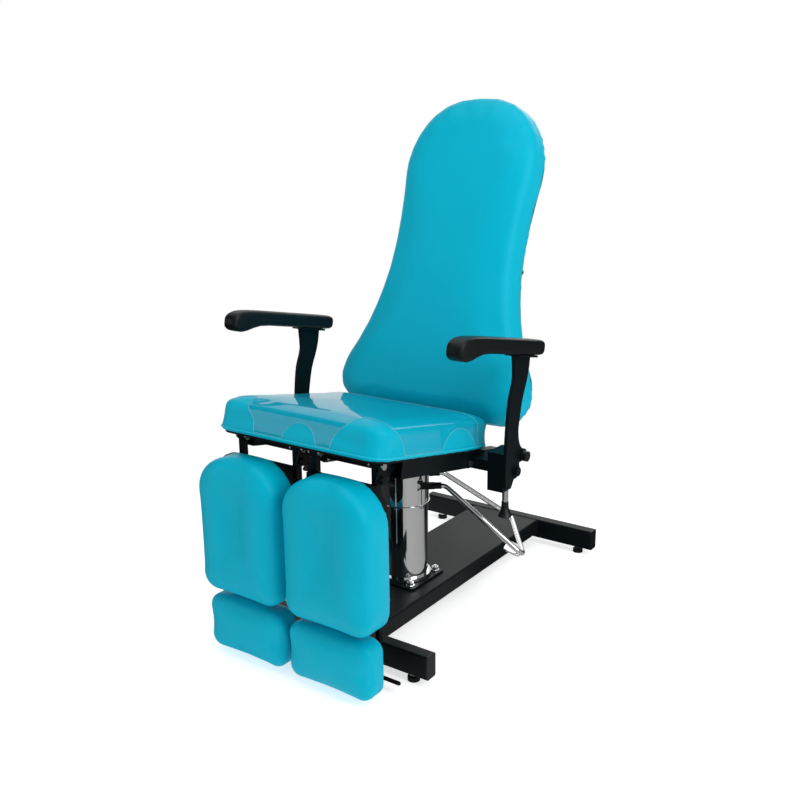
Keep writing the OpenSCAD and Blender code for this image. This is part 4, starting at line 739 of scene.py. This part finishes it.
def finish_tree(tree, start, end, geometry):
    real = add(tree, "GeometryNodeRealizeInstances", {"Geometry": geometry})
    smooth = add(tree, "GeometryNodeSetShadeSmooth", {"Geometry": real.outputs[0]})
    painted = add(tree, "GeometryNodeSetMaterial", {"Geometry": smooth.outputs[0],
                                                    "Material": start.outputs["Material"]})
    tree.links.new(painted.outputs[0], end.inputs["Geometry"])
    return tree


def weld_tree():
    """Overlapping ripples of a weld along each line, with a fixed seed for their unevenness"""
    tree, start, end = nodes_tree("Weld Ripples", [
        ("Radius", "NodeSocketFloat", 0.002), ("Pitch", "NodeSocketFloat", 0.002),
        ("Seed", "NodeSocketInt", 7), ("Material", "NodeSocketMaterial", None)])
    curve = add(tree, "GeometryNodeMeshToCurve", {"Mesh": start.outputs["Geometry"]})
    steps = add(tree, "GeometryNodeResampleCurve", {"Curve": curve.outputs[0], "Length": start.outputs["Pitch"]},
                mode="LENGTH")
    drop = add(tree, "GeometryNodeMeshIcoSphere", {"Radius": start.outputs["Radius"]}, Subdivisions=2)
    size = add(tree, "FunctionNodeRandomValue", {"Seed": start.outputs["Seed"]}, data_type="FLOAT")
    size.inputs[2].default_value, size.inputs[3].default_value = 0.82, 1.12
    beads = add(tree, "GeometryNodeInstanceOnPoints", {
        "Points": steps.outputs[0], "Instance": drop.outputs[0], "Scale": size.outputs[1]})
    return finish_tree(tree, start, end, beads.outputs[0])


def ring_tree():
    """Rings one after the other along each line, such as the turns of a thread"""
    tree, start, end = nodes_tree("Thread Turns", [
        ("Radius", "NodeSocketFloat", 0.005), ("Pitch", "NodeSocketFloat", 0.0015),
        ("Wire", "NodeSocketFloat", 0.0005), ("Material", "NodeSocketMaterial", None)])
    curve = add(tree, "GeometryNodeMeshToCurve", {"Mesh": start.outputs["Geometry"]})
    steps = add(tree, "GeometryNodeResampleCurve", {"Curve": curve.outputs[0], "Length": start.outputs["Pitch"]},
                mode="LENGTH")
    hoop = add(tree, "GeometryNodeCurvePrimitiveCircle", {"Radius": start.outputs["Radius"]}, Resolution=24)
    wire = add(tree, "GeometryNodeCurvePrimitiveCircle", {"Radius": start.outputs["Wire"]}, Resolution=6)
    turn = add(tree, "GeometryNodeCurveToMesh", {"Curve": hoop.outputs[0], "Profile Curve": wire.outputs[0]})
    ahead = tree.nodes.new("GeometryNodeInputTangent")
    facing = add(tree, "FunctionNodeAlignRotationToVector", {"Vector": ahead.outputs[0]}, axis="Z")
    turns = add(tree, "GeometryNodeInstanceOnPoints", {
        "Points": steps.outputs[0], "Instance": turn.outputs[0], "Rotation": facing.outputs[0]})
    return finish_tree(tree, start, end, turns.outputs[0])


WELDS, TURNS = weld_tree(), ring_tree()


def repeated(name, tree, lines, body, slot, material, **values):
    """Piece made by a geometry tree along lines of points, made plain and set on its body"""
    points, edges = [], []
    for line in lines:
        first = len(points)
        points += [tuple(p) for p in line]
        edges += [(first + k, first + k + 1) for k in range(len(line) - 1)]
    piece = from_points(name, points, [], None, edges)
    rule = piece.modifiers.new("Rule", "NODES")
    rule.node_group = tree
    keys = {s.name: s.identifier for s in tree.interface.items_tree if s.in_out == "INPUT"}
    rule[keys["Material"]] = material
    for key, value in values.items():
        rule[keys[key]] = value
    baked(piece)
    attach(piece, body)
    return piece


def box_line(place, points):
    return [place @ (Vector(p) * MM) for p in points]


# Where the seat frame's cross tubes meet its rails, back from the hinge line, and the weld round the pump's foot
CROSS_TUBE_EDGES = (48, 78, 305, 335, 405, 435)
FRONT_TUBES_WITHIN = 100
PUMP_WELD_R, PUMP_WELD_RISE = 71.3, 0.6
WELD_ENDS = 0.5
FRONT_SEAM = (50, 76)
CHANNEL_SEAM_IN, CHANNEL_SEAM_RISE = 6, 2


def frame_welds():
    """Weld ripples where the tubes of each moving part are joined"""
    rails = []
    front_low = BOARD_H - FRONT_TUBE_H
    for side in (-1, 1):
        x = side * RAIL_INSIDE
        for d in CROSS_TUBE_EDGES:
            low = front_low if d < FRONT_TUBES_WITHIN else BOARD_H - RAIL_H
            rails.append(box_line(SEAT, [(x, d, low), (x, d, BOARD_H - WELD_ENDS)]))
        rails.append(box_line(SEAT, [(x, d, front_low) for d in FRONT_SEAM]))
    repeated("seat_frame_welds", WELDS, rails, "lift", "powder_coat", POWDER, Radius=1.5 * MM, Pitch=2.0 * MM)
    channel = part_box("base_channel")
    seams = []
    for y in (channel[0].y, channel[1].y):
        for x in (channel[0].x, channel[1].x):
            seams.append([(x, y, channel[1].z - CHANNEL_SEAM_IN * MM), (x, y, channel[0].z + CHANNEL_SEAM_RISE * MM)])
        seams.append([(channel[0].x + CHANNEL_SEAM_IN * MM, y, channel[1].z),
                      (channel[1].x - CHANNEL_SEAM_IN * MM, y, channel[1].z)])
    repeated("base_welds", WELDS, seams, "base", "powder_coat", POWDER, Radius=2.0 * MM, Pitch=2.6 * MM)
    half_w, half_h, front_y = LEG_TUBE_W / 2, SPACER_H / 2, -LEG_TUBE_D / 2
    at_hinge = Matrix.Translation(hinge)
    for side, k in SIDES.items():
        lines = []
        for tube_side in (-1, 1):
            x = k * LEG_X + tube_side * LEG_SPAN / 2
            inner = x - tube_side * half_w
            for middle in SPACER_MIDDLES:
                for z in (half_h - middle, -half_h - middle):
                    lines.append(box_line(at_hinge, [(x - half_w, front_y, z), (x + half_w, front_y, z)]))
                lines.append(box_line(at_hinge, [(inner, front_y, z) for z in (-half_h - middle, half_h - middle)]))
        repeated(f"leg_frame_welds_{side}", WELDS, lines, f"leg_{side}", "powder_coat", POWDER,
                 Radius=1.2 * MM, Pitch=1.7 * MM)
    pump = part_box("pump_body")
    centre, foot = (pump[0] + pump[1]) / 2, pump[0].z
    ring = [(centre.x + PUMP_WELD_R * MM * math.cos(a), centre.y + PUMP_WELD_R * MM * math.sin(a),
             foot + PUMP_WELD_RISE * MM) for a in (2 * math.pi * k / 64 for k in range(65))]
    repeated("pump_foot_weld", WELDS, [ring], "base", "powder_coat", POWDER, Radius=1.7 * MM, Pitch=2.4 * MM)


THREAD_FROM, THREAD_TO = 10.5, 13.6


def foot_threads():
    """Turns of thread that show above each levelling foot's disc"""
    for place in ("front_left", "front_right", "rear_left", "rear_right"):
        low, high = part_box(f"foot_{place}")
        x, y = (low.x + high.x) / 2, (low.y + high.y) / 2
        repeated(f"foot_thread_{place}", TURNS, [[(x, y, THREAD_FROM * MM), (x, y, THREAD_TO * MM)]], f"foot_{place}",
                 "zinc", ZINC, Radius=4.9 * MM, Pitch=1.2 * MM, Wire=0.35 * MM)


# ---------------------------------------------------------------- the chair
dress_frame()
# Each cushion's voxel, the depth its sides are drawn in, the cap of its swelling, its filling and its wrap
seat = cushion("seat_pad", "seat_cushion", seat_face, "lift", 6.0, 4.0, 6.0, 5.0)
welt("seat_welt", seat, seat_face, pad_line(SEAT_W, SEAT_DEPTH, SEAT_REAR_R, SEAT_FRONT_R), "lift", 4.0, 2.2)
seat_cover(seat)
back = cushion("back_pad", "back_cushion", back_face, "backrest", 8.0, 4.0, 6.0, 15.0)
for side in SIDES:
    cushion(f"calf_cushion_{side}", f"calf_pad_{side}", calf_face[side], f"leg_{side}", 5.0, 2.5, 4.0, 11.0)
    cushion(f"heel_cushion_{side}", f"heel_pad_{side}", heel_face[side], f"heel_{side}", 4.0, 2.5, 4.0, 11.0)
    arm_pad(side)
pedal_loop()
frame_welds()
foot_threads()


# ---------------------------------------------------------------- studio
def ramp_round(tree, x, y, stops):
    """Level that changes with the direction in which a place or a way lies"""
    angle = maths(tree, "ARCTAN2", y, x)
    share = maths(tree, "MULTIPLY_ADD", angle, 1 / (2 * math.pi), 0.5)
    ramp = tree.nodes.new("ShaderNodeValToRGB")
    elements = ramp.color_ramp.elements
    for k, (degrees, level) in enumerate(stops):
        place = degrees / 360 + 0.5
        stop = elements[k] if k < 2 else elements.new(place)
        stop.position = place
        stop.color = (level, level * 1.005, level * 0.985, 1)
    tree.links.new(share, ramp.inputs["Fac"])
    return ramp.outputs["Color"]


# Brightness of the room that polished parts show, by direction in degrees from +X towards +Y
ROOM_STOPS = [(-180, 0.03), (180, 0.03), (-104, 0.02), (-92, 0.24), (-40, 0.42), (30, 0.36), (48, 0.30), (58, 0.02),
              (92, 0.02), (104, 0.8), (150, 0.8), (166, 0.03)]


FLOOR_HALF, WHITE_FROM, WHITE_TO = 30.0, 0.6, 1.5


def studio_floor():
    """Pale floor, white away from the chair, which shows polished parts the darker side of the room"""
    half = FLOOR_HALF
    material, shader = finish_of("pale_floor", (0.8, 0.8, 0.8), Roughness=0.9, Specular_IOR_Level=0.0)
    shader.inputs["Emission Color"].default_value = (1, 1, 1, 1)
    shader.inputs["Emission Strength"].default_value = 0.6
    tree = material.node_tree
    place = tree.nodes.new("ShaderNodeTexCoord")
    away = add(tree, "ShaderNodeVectorMath", {"Vector": place.outputs["Object"]}, operation="LENGTH")
    far = add(tree, "ShaderNodeMapRange", {"Value": away.outputs["Value"]}, interpolation_type="SMOOTHSTEP")
    far.inputs["From Min"].default_value, far.inputs["From Max"].default_value = WHITE_FROM, WHITE_TO
    white = add(tree, "ShaderNodeEmission", Color=(1, 1, 1, 1), Strength=1.0)
    lit = add(tree, "ShaderNodeMixShader", {0: far.outputs["Result"], 1: shader.outputs[0], 2: white.outputs[0]})
    part = add(tree, "ShaderNodeSeparateXYZ", {"Vector": place.outputs["Object"]})
    room = add(tree, "ShaderNodeEmission", {"Color": ramp_round(tree, part.outputs["X"], part.outputs["Y"],
                                                                ROOM_STOPS)})
    path = tree.nodes.new("ShaderNodeLightPath")
    seen = add(tree, "ShaderNodeMixShader", {0: path.outputs["Is Glossy Ray"], 1: lit.outputs[0],
                                             2: room.outputs[0]})
    tree.links.new(seen.outputs[0], tree.nodes["Material Output"].inputs["Surface"])
    floor = from_points("studio_floor", [(-half, -half, 0), (half, -half, 0), (half, half, 0), (-half, half, 0)],
                        [(0, 1, 2, 3)], material)


def soft_light(name, place, aim, size, power):
    lamp = bpy.data.lights.new(name, "AREA")
    lamp.shape = "RECTANGLE"
    lamp.size, lamp.size_y = size
    lamp.energy = power
    stand = bpy.data.objects.new(name, lamp)
    scene.collection.objects.link(stand)
    stand.location = place
    stand.rotation_mode = "QUATERNION"
    stand.rotation_quaternion = (Vector(aim) - Vector(place)).to_track_quat("-Z", "Y")
    stand.visible_camera = False


def studio_world():
    """White all round for the eye and soft fill, with the darker side of a room for the chrome"""
    world = bpy.data.worlds.new("studio")
    scene.world = world
    world.use_nodes = True
    tree = world.node_tree
    shown = tree.nodes["Background"]
    shown.inputs["Color"].default_value = (1, 1, 1, 1)
    shown.inputs["Strength"].default_value = 1.0
    fill = add(tree, "ShaderNodeBackground", Color=(0.95, 0.98, 1.0, 1), Strength=0.42)
    way = tree.nodes.new("ShaderNodeTexCoord")
    part = add(tree, "ShaderNodeSeparateXYZ", {"Vector": way.outputs["Generated"]})
    room = add(tree, "ShaderNodeBackground",
               {"Color": ramp_round(tree, part.outputs["X"], part.outputs["Y"], ROOM_STOPS)}, Strength=1.0)
    path = tree.nodes.new("ShaderNodeLightPath")
    mirrored = add(tree, "ShaderNodeMixShader", {0: path.outputs["Is Glossy Ray"], 1: fill.outputs[0],
                                                 2: room.outputs[0]})
    seen = add(tree, "ShaderNodeMixShader", {0: path.outputs["Is Camera Ray"], 1: mirrored.outputs[0],
                                             2: shown.outputs[0]})
    tree.links.new(seen.outputs[0], tree.nodes["World Output"].inputs["Surface"])


# Camera fitted to the photograph: turn, look down and roll in degrees, focal length in pixels of its 800, and place in
# millimetres from the middle of the base
PHOTO_ANGLES, PHOTO_FOCAL, PHOTO_SIDE = (35.70, 14.69, -0.66), 941.3, 800
PHOTO_PLACE, SENSOR = (1386.3, -2071.3, 1201.7), 36.0


def photo_camera():
    """Camera where the photograph was taken from"""
    turn, down, roll = (math.radians(a) for a in PHOTO_ANGLES)
    ahead = Vector((-math.sin(turn) * math.cos(down), math.cos(turn) * math.cos(down), -math.sin(down)))
    level = Vector((math.cos(turn), math.sin(turn), 0))
    upright = level.cross(ahead)
    right = level * math.cos(roll) + upright * math.sin(roll)
    up = -level * math.sin(roll) + upright * math.cos(roll)
    data = bpy.data.cameras.new("photo_camera")
    data.sensor_width = SENSOR
    data.lens = PHOTO_FOCAL * SENSOR / PHOTO_SIDE
    eye = bpy.data.objects.new("photo_camera", data)
    scene.collection.objects.link(eye)
    base_y = sum(m["pos_m"][1] for m in frame["record"]["mounts"]) / len(frame["record"]["mounts"])
    place = Matrix((right, up, -ahead)).transposed().to_4x4()
    place.translation = Vector(PHOTO_PLACE) * MM + Vector((0, base_y, 0))
    eye.matrix_world = place
    scene.camera = eye


studio_floor()
studio_world()
soft_light("window_right", (3.0, -0.6, 2.3), (0, 0, 0.75), (1.6, 2.0), 56)
soft_light("ceiling", (0.2, -0.4, 3.4), (0, 0, 0.6), (3.0, 3.0), 34)
soft_light("front_left", (-2.6, -3.0, 1.7), (0, 0, 0.6), (2.4, 2.2), 14)
soft_light("behind", (-0.6, 3.2, 2.2), (0, 0, 0.9), (2.6, 1.6), 18)
scene.view_settings.view_transform = "Standard"
photo_camera()
